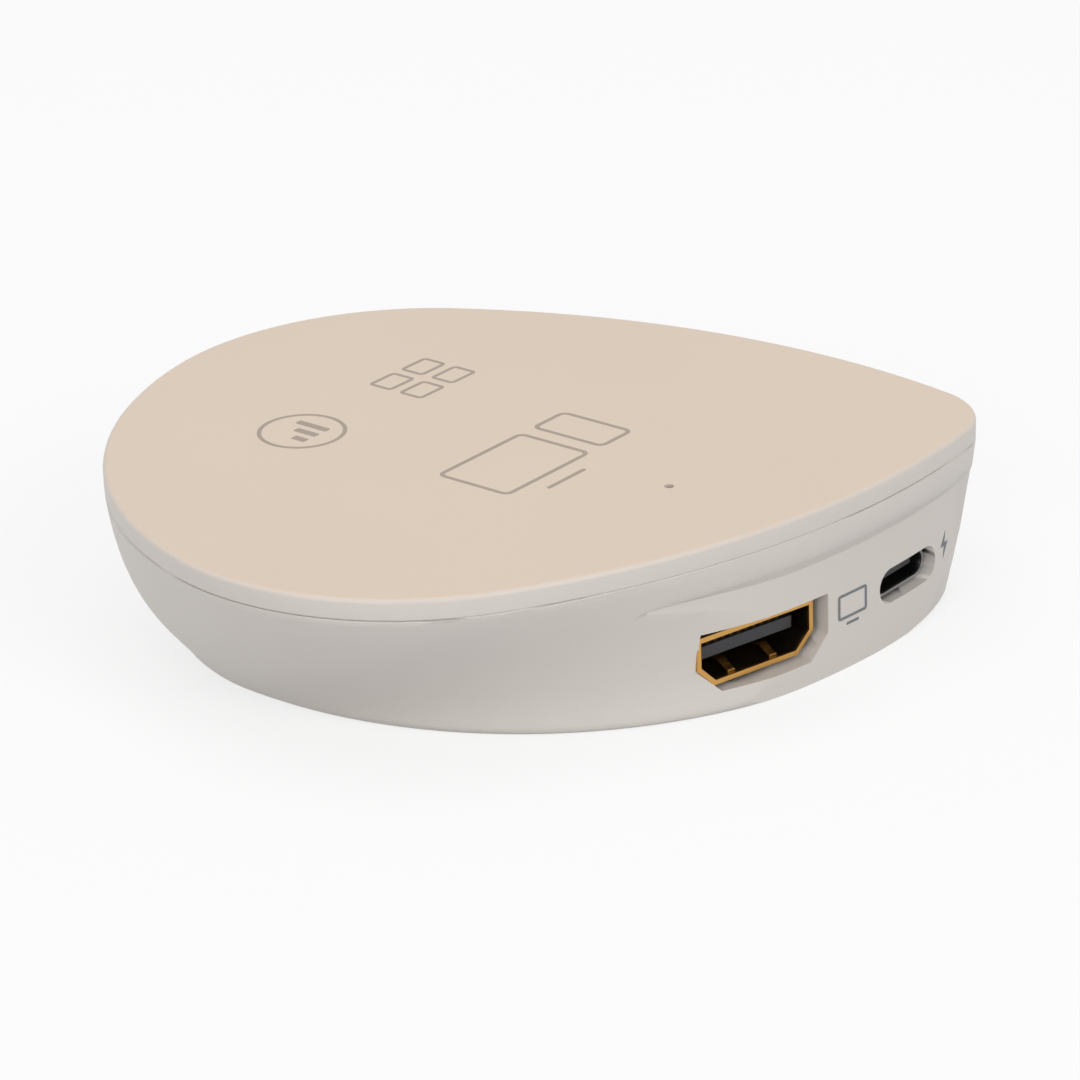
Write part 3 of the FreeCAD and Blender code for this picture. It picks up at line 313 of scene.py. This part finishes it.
def plated_shell(name, edge, throat_shade, turn, setback):
    material, tree = new_material(name)
    place = add(tree, "ShaderNodeTexCoord").outputs["Object"]
    angle = math.radians(turn)
    outward = Vector((math.sin(angle), -math.cos(angle), 0))
    front = outward.dot(Vector((*FLANK, 0))) + PANEL - setback
    along = add(tree, "ShaderNodeVectorMath", {"operation": "DOT_PRODUCT"}, {
        0: place, 1: outward})
    unshaded = add(tree, "ShaderNodeMapRange", {"interpolation_type": "SMOOTHSTEP"}, {
        "Value": along.outputs["Value"],
        "From Min": (front - BRIGHT_FROM) * MM, "From Max": (front - BRIGHT_AT) * MM})
    cloud = add(tree, "ShaderNodeTexNoise", inputs={
        "Vector": place, "Scale": 1000 / CLOUD, "Detail": 2})
    patchy = add(tree, "ShaderNodeMapRange", inputs={
        "Value": cloud.outputs["Fac"], "To Min": PATCHY_LOW, "To Max": 1.0})
    share = add(tree, "ShaderNodeMath", {"operation": "MULTIPLY"}, {
        0: unshaded.outputs[0], 1: patchy.outputs[0]})
    # Painted shade: the throat colour darkens the metal behind the front edge, where little
    # light gets in.
    tint = add(tree, "ShaderNodeMix", {"data_type": "RGBA"}, {
        0: share.outputs[0], 6: linear(throat_shade), 7: linear(edge)})
    matt = add(tree, "ShaderNodeMapRange", inputs={
        "Value": cloud.outputs["Fac"], "To Min": POLISHED, "To Max": DULLED})
    shader = add(tree, "ShaderNodeBsdfPrincipled", inputs={
        "Base Color": tint.outputs[2], "Roughness": matt.outputs[0], "Metallic": 1.0})
    finish(tree, shader)
    return material


# The second colour of each shell is the painted shade in its throat.
gold_plate = plated_shell("gold_plated_shell", "#D9A75C", "#6E6152",
                          DISPLAY_TURN, DISPLAY_SETBACK)
nickel_sheet = plated_shell("nickel_plated_shell", "#B9BBBD", "#69696B",
                            POWER_TURN, POWER_SETBACK)
print("shells:", gold_plate.name, nickel_sheet.name)

# %% [markdown]
# ## Circuit boards and the clear pipe
# A board is glass laminate under a coloured solder mask. Copper runs show through as
# slightly raised, slightly paler tracks at right angles, about 0.4 mm wide. A square-celled
# Voronoi pattern draws them where a point is far from the middle of its cell. The light pipe
# is cast acrylic with a faint haze.


# %% Board and clear finishes
RUN_FROM, RUN_AT, RUN_DEPTH, HAZE = 0.42, 0.5, 0.03, 1.5


def laminate(name, mask, track, cell_mm):
    material, tree = new_material(name)
    place = add(tree, "ShaderNodeTexCoord").outputs["Object"]
    cells = add(tree, "ShaderNodeTexVoronoi",
                {"feature": "F1", "distance": "CHEBYCHEV"},
                {"Vector": place, "Scale": 1000 / cell_mm, "Randomness": 0.85})
    runs = add(tree, "ShaderNodeMapRange", inputs={
        "Value": cells.outputs["Distance"], "From Min": RUN_FROM, "From Max": RUN_AT})
    tint = add(tree, "ShaderNodeMix", {"data_type": "RGBA"}, {
        0: runs.outputs[0], 6: linear(mask), 7: linear(track)})
    bump = add(tree, "ShaderNodeBump", inputs={
        "Height": runs.outputs[0], "Strength": 0.5, "Distance": RUN_DEPTH * MM})
    shader = add(tree, "ShaderNodeBsdfPrincipled", inputs={
        "Base Color": tint.outputs[2], "Roughness": 0.3, "Normal": bump.outputs[0],
        "IOR": 1.52})
    finish(tree, shader)
    return material


def acrylic(name, colour):
    material, tree = new_material(name)
    place = add(tree, "ShaderNodeTexCoord").outputs["Object"]
    haze = add(tree, "ShaderNodeTexNoise", inputs={"Vector": place, "Scale": 1000 / HAZE})
    matt = add(tree, "ShaderNodeMapRange", inputs={
        "Value": haze.outputs["Fac"], "To Min": 0.12, "To Max": 0.3})
    shader = add(tree, "ShaderNodeBsdfPrincipled", inputs={
        "Base Color": linear(colour), "Roughness": matt.outputs[0],
        "Transmission Weight": 0.8, "IOR": 1.49})
    finish(tree, shader)
    return material


board_mask = laminate("green_solder_mask", "#1F4A35", "#2E6147", cell_mm=2.2)
module_mask = laminate("blue_solder_mask", "#1D3F66", "#2A5280", cell_mm=1.4)
clear_acrylic = acrylic("clear_acrylic", "#DDE2E4")
print("finishes in all:", len(bpy.data.materials))

# %% [markdown]
# ## Dress the solids
# Each solid keeps its shape and takes a finish for the slot that the record names. The two
# big mouldings get a skin below, because a smooth wall needs smooth shading.

# %% Finishes by slot
FINISHES = {
    "shell_side": side_abs, "shell_top": top_abs, "clear_pipe": clear_acrylic,
    "board": board_mask, "gold_shell": gold_plate, "black_plastic": black_nylon,
    "contacts": contact_plate, "steel_shell": nickel_sheet, "chip_black": chip_epoxy,
    "pad_grey": pad_silicone, "sink_metal": extruded_aluminium, "module_board": module_mask,
    "antenna_metal": tinned_strip, "ferrite": iron_powder, "capacitor_can": drawn_aluminium,
    "ceramic_tan": fired_ceramic, "led_white": led_resin, "screw_steel": zinc_screw}
for part in frame["record"]["subparts"]:
    mesh = nodes[part["node"]].data
    mesh.materials.clear()
    mesh.materials.append(FINISHES[part["material_slot"]])


# %% [markdown]
# ## Skins for the two mouldings
# A solid comes in as loose triangles. Its skin is a copy with the doubled points merged,
# shaded smooth across gentle bends and left crisp at real edges. Weighted normals keep the
# flat top flat right up to its rounded rim.


# %% Smooth skins
CREASE = 32
MERGE = 0.002


def only(piece):
    bpy.ops.object.select_all(action="DESELECT")
    piece.select_set(True)
    bpy.context.view_layer.objects.active = piece


def skin_of(node, name, material, reshape=None):
    skin = nodes[node].copy()
    skin.data = nodes[node].data.copy()
    skin.name = name
    skin.data.name = name
    bpy.context.scene.collection.objects.link(skin)
    only(skin)
    bpy.ops.object.mode_set(mode="EDIT")
    bpy.ops.mesh.select_all(action="SELECT")
    bpy.ops.mesh.remove_doubles(threshold=MERGE * MM)
    bpy.ops.object.mode_set(mode="OBJECT")
    if reshape:
        reshape(skin.data)
    bpy.ops.object.shade_smooth_by_angle(angle=math.radians(CREASE))
    weighted = skin.modifiers.new("weighted", "WEIGHTED_NORMAL")
    weighted.keep_sharp = True
    bpy.ops.object.modifier_apply(modifier=weighted.name)
    skin.data.materials.clear()
    skin.data.materials.append(material)
    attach(skin, "root")
    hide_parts(node)
    print(name, len(skin.data.polygons), "faces")
    return skin


skin_of("top_cover", "cover_skin", top_abs)

# %% [markdown]
# The real socket panel has three soft spots that the plain cut lacks. Its ledge slopes a
# little longer, its recess fades out before the tip, and the opening for the display socket
# sits slightly to the right of the socket. So the housing's skin has its corner points there
# moved, by a millimetre or so at most, and all stay inside the old outline. A point is found
# by its place: how far it lies from an arc's centre, and how high. The ledge comes first: its
# low edge drops, by nothing at the left end and by the whole amount from the middle on.

# %% The ledge
LEDGE_LEVEL, LEDGE_DROP = 13.8, 0.7
DROP_START, DROP_END = 25.0, 36.0
CLOSE = 0.03


def ease(value, start, end):
    share = min(1, max(0, (value - start) / (end - start)))
    return share * share * (3 - 2 * share)


def arm_of(point):
    return point - Vector((*FLANK, point.z))


def turn_of(arm):
    return math.atan2(arm.x, -arm.y)


def at_ledge(point):
    return abs(point.z - LEDGE_LEVEL) < CLOSE


def lower_ledge(point):
    arm = arm_of(point)
    if not at_ledge(point) or abs(arm.length - PANEL) >= CLOSE:
        return False
    point.z -= LEDGE_DROP * ease(math.degrees(turn_of(arm)), DROP_START, DROP_END)
    return True


print("the ledge drops by", LEDGE_DROP, "mm")

# %% [markdown]
# The recess runs on round the tip, which is a smaller arc with a centre of its own. There the
# ledge's low edge slides out along its own bearing, from the recess to the outer wall. Where
# it gets there, the ledge is gone, and the recess only leans out to meet the wall.

# %% The recess at the tip
TIP, TIP_PANEL = (36.1, 0.0), 7.5
WALL_AT_LEDGE = (35.225, 9.402)
FADE_START, FADE_END = -36.0, -4.0


def fade_recess(point):
    nose = point - Vector((*TIP, point.z))
    if not at_ledge(point) or nose.x <= 0 or abs(nose.length - TIP_PANEL) >= CLOSE:
        return False
    bearing = math.atan2(nose.y, nose.x)
    share = ease(math.degrees(bearing), FADE_START, FADE_END)
    back = TIP[0] - WALL_AT_LEDGE[0]
    wall = math.sqrt(WALL_AT_LEDGE[1] ** 2 - (back * math.sin(bearing)) ** 2)
    wall -= back * math.cos(bearing)
    reach = TIP_PANEL + share * (wall - TIP_PANEL)
    point.x = TIP[0] + reach * math.cos(bearing)
    point.y = TIP[1] + reach * math.sin(bearing)
    point.z -= LEDGE_DROP * (1 - share)
    return True


print("the recess fades out from", FADE_START, "to", FADE_END, "degrees round the tip")

# %% [markdown]
# The window's left edge moves more than its right, and a point near the middle hardly moves,
# so the top and bottom edges stay level. The points behind the panel lie on the housing's
# inner wall, which slopes away from the panel's arc, so they also move along that slope.

# %% The display socket's window
WINDOW_HALF, WINDOW_TALL, WINDOW_CUT, WINDOW_SKEW = 8.25, 3.4, 9.15, 1.7
LEFT_SHIFT, RIGHT_SHIFT = 0.9, 0.35
INNER_SLOPE, INNER_FALL = 0.17, 0.014


def on_window_edge(arm, across, up):
    return (PANEL - WINDOW_SKEW < arm.length < PANEL + CLOSE and arm.y < 0
            and abs(across) < WINDOW_HALF + CLOSE and abs(up) < WINDOW_TALL + CLOSE
            and abs(across) + max(0, -up) < WINDOW_CUT + CLOSE)


def shift_window(point):
    turn = math.radians(DISPLAY_TURN)
    arm = arm_of(point)
    across = arm.dot(Vector((math.cos(turn), math.sin(turn), 0)))
    up = point.z - DISPLAY_LEVEL
    if not on_window_edge(arm, across, up):
        return False
    shift = LEFT_SHIFT if across < 0 else RIGHT_SHIFT
    shift *= min(1, abs(across) / (WINDOW_CUT - WINDOW_TALL))
    reach = arm.length
    if abs(reach - PANEL) >= CLOSE:
        reach += shift * (INNER_SLOPE - INNER_FALL * up)
    side = math.asin((across + shift) / reach) + turn
    point.x = FLANK[0] + reach * math.sin(side)
    point.y = FLANK[1] - reach * math.cos(side)
    return True


print("the window's edges move", LEFT_SHIFT, "and", RIGHT_SHIFT, "mm to the right")

# %% [markdown]
# Each corner point of the skin is offered to the three rules in turn, and the first rule that
# knows its place moves it.

# %% Soften the panel
def soften_panel(mesh):
    moved = 0
    for vertex in mesh.vertices:
        point = vertex.co / MM
        if lower_ledge(point) or fade_recess(point) or shift_window(point):
            vertex.co = point * MM
            moved += 1
    print("moved", moved, "corner points")


housing_skin = skin_of("bottom_housing", "housing_skin", side_abs, soften_panel)

# %% [markdown]
# The socket panel is an exact arc, but its triangles run as long slivers from the socket
# windows to the rim, and averaged normals would show them as streaks. A corner of a triangle
# on that arc gets the true normal instead: straight out from the arc's centre. The ledge
# above it follows the same arc, tipped down by the mean slope of its triangles at that point.

# %% True normals on the panel
LEDGE_TOP, LEDGE_END, OVERHANG = 14.9, 54.1, -0.3


def on_panel_arc(arms):
    return max(abs(arm.length - PANEL) for arm in arms) < CLOSE


def on_ledge(face, points, arms):
    return (face.normal.z < OVERHANG
            and min(point.z for point in points) > LEDGE_LEVEL - LEDGE_DROP - CLOSE
            and max(point.z for point in points) < LEDGE_TOP
            and min(arm.length for arm in arms) > PANEL - CLOSE
            and max(turn_of(arm) for arm in arms) < math.radians(LEDGE_END))


def true_round(piece):
    mesh = piece.data
    normals = [corner.vector.copy() for corner in mesh.corner_normals]
    panel, ledge, slopes = [], [], {}
    for face in mesh.polygons:
        points = [mesh.vertices[v].co / MM for v in face.vertices]
        arms = [arm_of(point) for point in points]
        if on_panel_arc(arms):
            panel.append((face, arms))
        elif on_ledge(face, points, arms):
            ledge.append((face, arms))
            for v in face.vertices:
                slopes.setdefault(v, []).append(face.normal.z)
    for face, arms in panel:
        for corner, arm in zip(face.loop_indices, arms):
            normals[corner] = arm.normalized()
    for face, arms in ledge:
        for corner, v, arm in zip(face.loop_indices, face.vertices, arms):
            tip = sum(slopes[v]) / len(slopes[v])
            out = arm.normalized() * math.sqrt(1 - tip * tip)
            normals[corner] = Vector((out.x, out.y, tip))
    mesh.normals_split_custom_set(normals)
    print(piece.name, len(panel), "panel faces and", len(ledge), "ledge faces")


true_round(housing_skin)


# %% [markdown]
# ## Printed marks
# The top has three small outline signs in one grey-brown ink, and each socket has a little
# sign of its own. Ink stands a few hundredths of a millimetre proud, so each is a thin closed
# plate: a plane, corners rounded with a bevel, inset to a line, and given its thickness.

# %% Plates and outlines
INK = 0.02
CORNER_STEPS = 5


def thicken():
    bpy.ops.mesh.select_all(action="SELECT")
    bpy.ops.mesh.extrude_region_move(TRANSFORM_OT_translate={"value": (0, 0, INK * MM)})
    bpy.ops.mesh.select_all(action="SELECT")
    bpy.ops.mesh.normals_make_consistent(inside=False)
    bpy.ops.object.mode_set(mode="OBJECT")


def plate(name, width, height, corner, line=None):
    bpy.ops.object.select_all(action="DESELECT")
    bpy.ops.mesh.primitive_plane_add(size=1)
    piece = bpy.context.object
    piece.name = name
    piece.scale = (width * MM, height * MM, 1)
    bpy.ops.object.transform_apply(location=False, rotation=False, scale=True)
    bpy.ops.object.mode_set(mode="EDIT")
    bpy.ops.mesh.select_all(action="SELECT")
    bpy.ops.mesh.bevel(offset=corner * MM, segments=CORNER_STEPS, affect="VERTICES")
    if line:
        bpy.ops.mesh.select_all(action="SELECT")
        bpy.ops.mesh.inset(thickness=line * MM)
        bpy.ops.mesh.delete(type="FACE")
    thicken()
    return piece


def ring(name, radius, line):
    bpy.ops.object.select_all(action="DESELECT")
    bpy.ops.mesh.primitive_circle_add(vertices=64, radius=radius * MM, fill_type="NGON")
    piece = bpy.context.object
    piece.name = name
    bpy.ops.object.mode_set(mode="EDIT")
    bpy.ops.mesh.select_all(action="SELECT")
    bpy.ops.mesh.inset(thickness=line * MM)
    bpy.ops.mesh.delete(type="FACE")
    thicken()
    return piece


print("ink is", INK, "mm thick")

# %% [markdown]
# A finished piece has its place in its mesh, so each is moved by a matrix that is then
# applied. The pieces of one sign are joined, because a printer lays them down together.

# %% Settle and join
def settle(piece, matrix):
    piece.matrix_world = matrix @ piece.matrix_world
    only(piece)
    bpy.ops.object.transform_apply(location=True, rotation=True, scale=True)


def join(name, pieces, material):
    only(pieces[0])
    for piece in pieces:
        piece.select_set(True)
    if len(pieces) > 1:
        bpy.ops.object.join()
    joined = bpy.context.object
    joined.name = name
    joined.data.name = name
    joined.data.materials.clear()
    joined.data.materials.append(material)
    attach(joined, "root")
    print(name, len(joined.data.polygons), "faces")
    return joined


def shifted(x, y):
    return Matrix.Translation((x * MM, y * MM, 0))


# %% [markdown]
# The marks on the top are turned to read from the socket side. Their places are in
# millimetres from the middle of the puck. Each is sunk a little, so that no gap shows under it.

# %% Marks on the top
MARK_TURN = 47
MARK_SINK = 0.004
SCREENS_AT, TILES_AT, BARS_AT = (0.0, -5.5), (-11.4, 17.7), (-24.6, 4.7)
TILE_ACROSS, TILE_UP = 2.6, 2.1
BAR_HEIGHTS, BAR_PITCH, BAR_FOOT = (1.8, 3.0, 4.2), 1.7, -2.1


def on_top(x, y):
    return Matrix.Translation((x * MM, y * MM, TOP_Z - MARK_SINK * MM)) @ Matrix.Rotation(
        math.radians(MARK_TURN), 4, "Z")


big = plate("screens_large", width=13.6, height=9.4, corner=1.0, line=0.5)
small = plate("screens_small", width=5.4, height=9.4, corner=1.0, line=0.5)
foot = plate("screens_foot", width=6.0, height=0.5, corner=0.2)
settle(big, shifted(-3.6, 1.2))
settle(small, shifted(7.6, 1.2))
settle(foot, shifted(-3.6, -5.6))
screens = join("print_screens", [big, small, foot], print_ink)
settle(screens, on_top(*SCREENS_AT))

tiles = []
for y in (-TILE_UP, TILE_UP):
    for x in (-TILE_ACROSS, TILE_ACROSS):
        tile = plate("tile_%d" % len(tiles), width=4.2, height=3.2, corner=0.6, line=0.45)
        settle(tile, shifted(x, y))
        tiles.append(tile)
grid = join("print_tiles", tiles, print_ink)
settle(grid, on_top(*TILES_AT))

rising = [ring("bars_hoop", radius=4.7, line=0.45)]
for i, tall in enumerate(BAR_HEIGHTS):
    stick = plate("bar_%d" % i, width=0.9, height=tall, corner=0.2)
    settle(stick, shifted(-BAR_PITCH + BAR_PITCH * i, BAR_FOOT + tall / 2))
    rising.append(stick)
bars = join("print_bars", rising, print_ink)
settle(bars, on_top(*BARS_AT))

# %% [markdown]
# ## Signs by the sockets
# A small screen outline marks the display socket and a bolt marks the power socket. They
# stand upright on the recessed panel, which is part of a cylinder 84.8 mm in radius.

# %% Signs on the panel
SIGN_LIFT = 0.005


def on_flank(radius, turn, height):
    angle = math.radians(turn)
    x = FLANK[0] + radius * math.sin(angle)
    y = FLANK[1] - radius * math.cos(angle)
    return Matrix.Translation((x * MM, y * MM, height * MM)) @ Matrix.Rotation(angle, 4, "Z")


def on_panel(turn, height):
    upright = Matrix.Rotation(math.radians(90), 4, "X")
    return on_flank(PANEL + SIGN_LIFT, turn, height) @ upright


screen = plate("sign_frame", width=4.4, height=2.8, corner=0.35, line=0.3)
stand = plate("sign_foot", width=1.9, height=0.3, corner=0.1)
settle(stand, shifted(0, -2.0))
sign = join("sign_screen", [screen, stand], label_ink)
settle(sign, on_panel(41.5, 6.95))

# %% [markdown]
# The bolt is a slanted zigzag with six corners. A six-sided circle is its start: the corners
# are put where the bolt has them, and the face between them gets its thickness.

# %% The bolt
bpy.ops.object.select_all(action="DESELECT")
bpy.ops.mesh.primitive_circle_add(vertices=6, radius=1 * MM, fill_type="NGON")
bolt = bpy.context.object
BOLT = [(0.25, 1.5), (-0.75, -0.15), (-0.05, -0.15), (-0.25, -1.5), (0.75, 0.2), (0.05, 0.2)]
for vertex, (x, y) in zip(bolt.data.vertices, BOLT):
    vertex.co = Vector((x * MM, y * MM, 0))
only(bolt)
bpy.ops.object.mode_set(mode="EDIT")
thicken()
bolt = join("sign_bolt", [bolt], label_ink)
settle(bolt, on_panel(52.6, 7.45))

# %% [markdown]
# ## Springs in the display socket
# Two narrow tongues are cut out of the shell's floor and pressed upwards, so that they grip
# the plug. Each starts as a thin block, is divided along its length, and its middle is
# lifted into a hump.


# %% Grip springs
SPRING_WIDTH, SPRING_LENGTH, SPRING_THICKNESS, SPRING_HUMP = 1.2, 4.0, 0.2, 0.75
SPRING_SIDE, SPRING_DEPTH, SPRING_FLOOR = 2.7, 2.6, -2.16
SPRING_TAPER, SPRING_EDGE, SPRING_CUTS, SPRING_CREASE = 0.25, 0.05, 9, 40


def grip_spring(name, x):
    bpy.ops.object.select_all(action="DESELECT")
    bpy.ops.mesh.primitive_cube_add(size=1)
    spring = bpy.context.object
    spring.name = name
    spring.scale = (SPRING_WIDTH * MM, SPRING_LENGTH * MM, SPRING_THICKNESS * MM)
    bpy.ops.object.transform_apply(location=False, rotation=False, scale=True)
    bpy.ops.object.mode_set(mode="EDIT")
    bpy.ops.mesh.select_all(action="SELECT")
    bpy.ops.mesh.subdivide(number_cuts=SPRING_CUTS)
    bpy.ops.object.mode_set(mode="OBJECT")
    for vertex in spring.data.vertices:
        along = vertex.co.y / (SPRING_LENGTH / 2 * MM)
        vertex.co.z += SPRING_HUMP * MM * math.cos(along * math.pi / 2) ** 2
        vertex.co.x *= 1 - SPRING_TAPER * (1 - along) / 2
    bevel = spring.modifiers.new("edge", "BEVEL")
    bevel.width = SPRING_EDGE * MM
    bevel.segments = 2
    bevel.limit_method = "ANGLE"
    only(spring)
    bpy.ops.object.modifier_apply(modifier=bevel.name)
    bpy.ops.object.shade_smooth_by_angle(angle=math.radians(SPRING_CREASE))
    settle(spring, Matrix.Translation((x * MM, SPRING_DEPTH * MM, SPRING_FLOOR * MM)))
    return spring


springs = [grip_spring("spring_%d" % i, x) for i, x in enumerate((-SPRING_SIDE, SPRING_SIDE))]
springs = join("grip_springs", springs, spring_gold)
settle(springs, on_flank(PANEL - DISPLAY_SETBACK, DISPLAY_TURN, DISPLAY_LEVEL))

# %% [markdown]
# ## Floor, backdrop and light
# The photograph is a cut-out on plain white under soft, even light. A wide floor carries
# the shadow. It looks white where the camera, a reflection or clear plastic meets it, and
# throws back a milder grey light, so that the foot of the wall doesn't glow.

# %% Floor
GLOW = 0.75
PAPER_BOUNCE, PAPER_SEEN = "#D0D0D0", "#F4F4F4"


def looked_at(tree, paths):
    direct = add(tree, "ShaderNodeMath", {"operation": "MAXIMUM"}, {
        0: paths.outputs["Is Camera Ray"], 1: paths.outputs["Is Glossy Ray"]})
    seen = add(tree, "ShaderNodeMath", {"operation": "MAXIMUM"}, {
        0: direct.outputs[0], 1: paths.outputs["Is Transmission Ray"]})
    return seen.outputs[0]


bpy.ops.object.select_all(action="DESELECT")
bpy.ops.mesh.primitive_plane_add(size=6, location=(0, 0, 0))
floor = bpy.context.object
floor.name = "floor"
white, tree = new_material("white_paper")
paths = add(tree, "ShaderNodeLightPath")
share = add(tree, "ShaderNodeMath", {"operation": "MULTIPLY"}, {
    0: looked_at(tree, paths), 1: GLOW})
sheet = add(tree, "ShaderNodeMix", {"data_type": "RGBA"}, {
    0: paths.outputs["Is Camera Ray"], 6: linear(PAPER_BOUNCE), 7: linear(PAPER_SEEN)})
paper = add(tree, "ShaderNodeBsdfDiffuse", inputs={"Color": sheet.outputs[2]})
glow = add(tree, "ShaderNodeEmission", inputs={"Color": (1, 1, 1, 1), "Strength": 1.0})
mixed = add(tree, "ShaderNodeMixShader", inputs={
    0: share.outputs[0], 1: paper.outputs[0], 2: glow.outputs[0]})
finish(tree, mixed)
floor.data.materials.append(white)
print("floor:", [round(side, 2) for side in floor.dimensions])

# %% [markdown]
# The world gives an even grey light from all round, and shows as white only where the camera,
# a reflection or clear plastic looks straight at it. One large lamp hangs overhead, and two
# stand lower in front, so that the walls are nearly as bright as the top. Together they keep
# the light at a plain level, at which a colour renders about as it is written.

# %% World and lamps
AMBIENT = 0.55
world = bpy.data.worlds.new("studio")
bpy.context.scene.world = world
world.use_nodes = True
tree = world.node_tree
tree.nodes.clear()
paths = add(tree, "ShaderNodeLightPath")
soft = add(tree, "ShaderNodeBackground", inputs={"Color": (1, 1, 1, 1), "Strength": AMBIENT})
clean = add(tree, "ShaderNodeBackground", inputs={"Color": (1, 1, 1, 1), "Strength": 1.0})
mixed = add(tree, "ShaderNodeMixShader", inputs={
    0: looked_at(tree, paths), 1: soft.outputs[0], 2: clean.outputs[0]})
add(tree, "ShaderNodeOutputWorld", inputs={"Surface": mixed.outputs[0]})


def soft_lamp(name, place, size, power):
    lamp = bpy.data.lights.new(name, "AREA")
    lamp.size = size
    lamp.energy = power
    holder = bpy.data.objects.new(name, lamp)
    bpy.context.scene.collection.objects.link(holder)
    holder.location = place
    holder.rotation_euler = (-Vector(place)).to_track_quat("-Z", "Y").to_euler()
    print("lamp", name, power, "W")


soft_lamp("overhead", place=(-0.15, 0.1, 0.9), size=0.9, power=2.2)
soft_lamp("front_left", place=(-0.55, -0.95, 0.45), size=0.7, power=3.4)
soft_lamp("front_right", place=(0.6, -0.8, 0.6), size=0.6, power=4.0)
bpy.context.scene.view_settings.view_transform = "Standard"
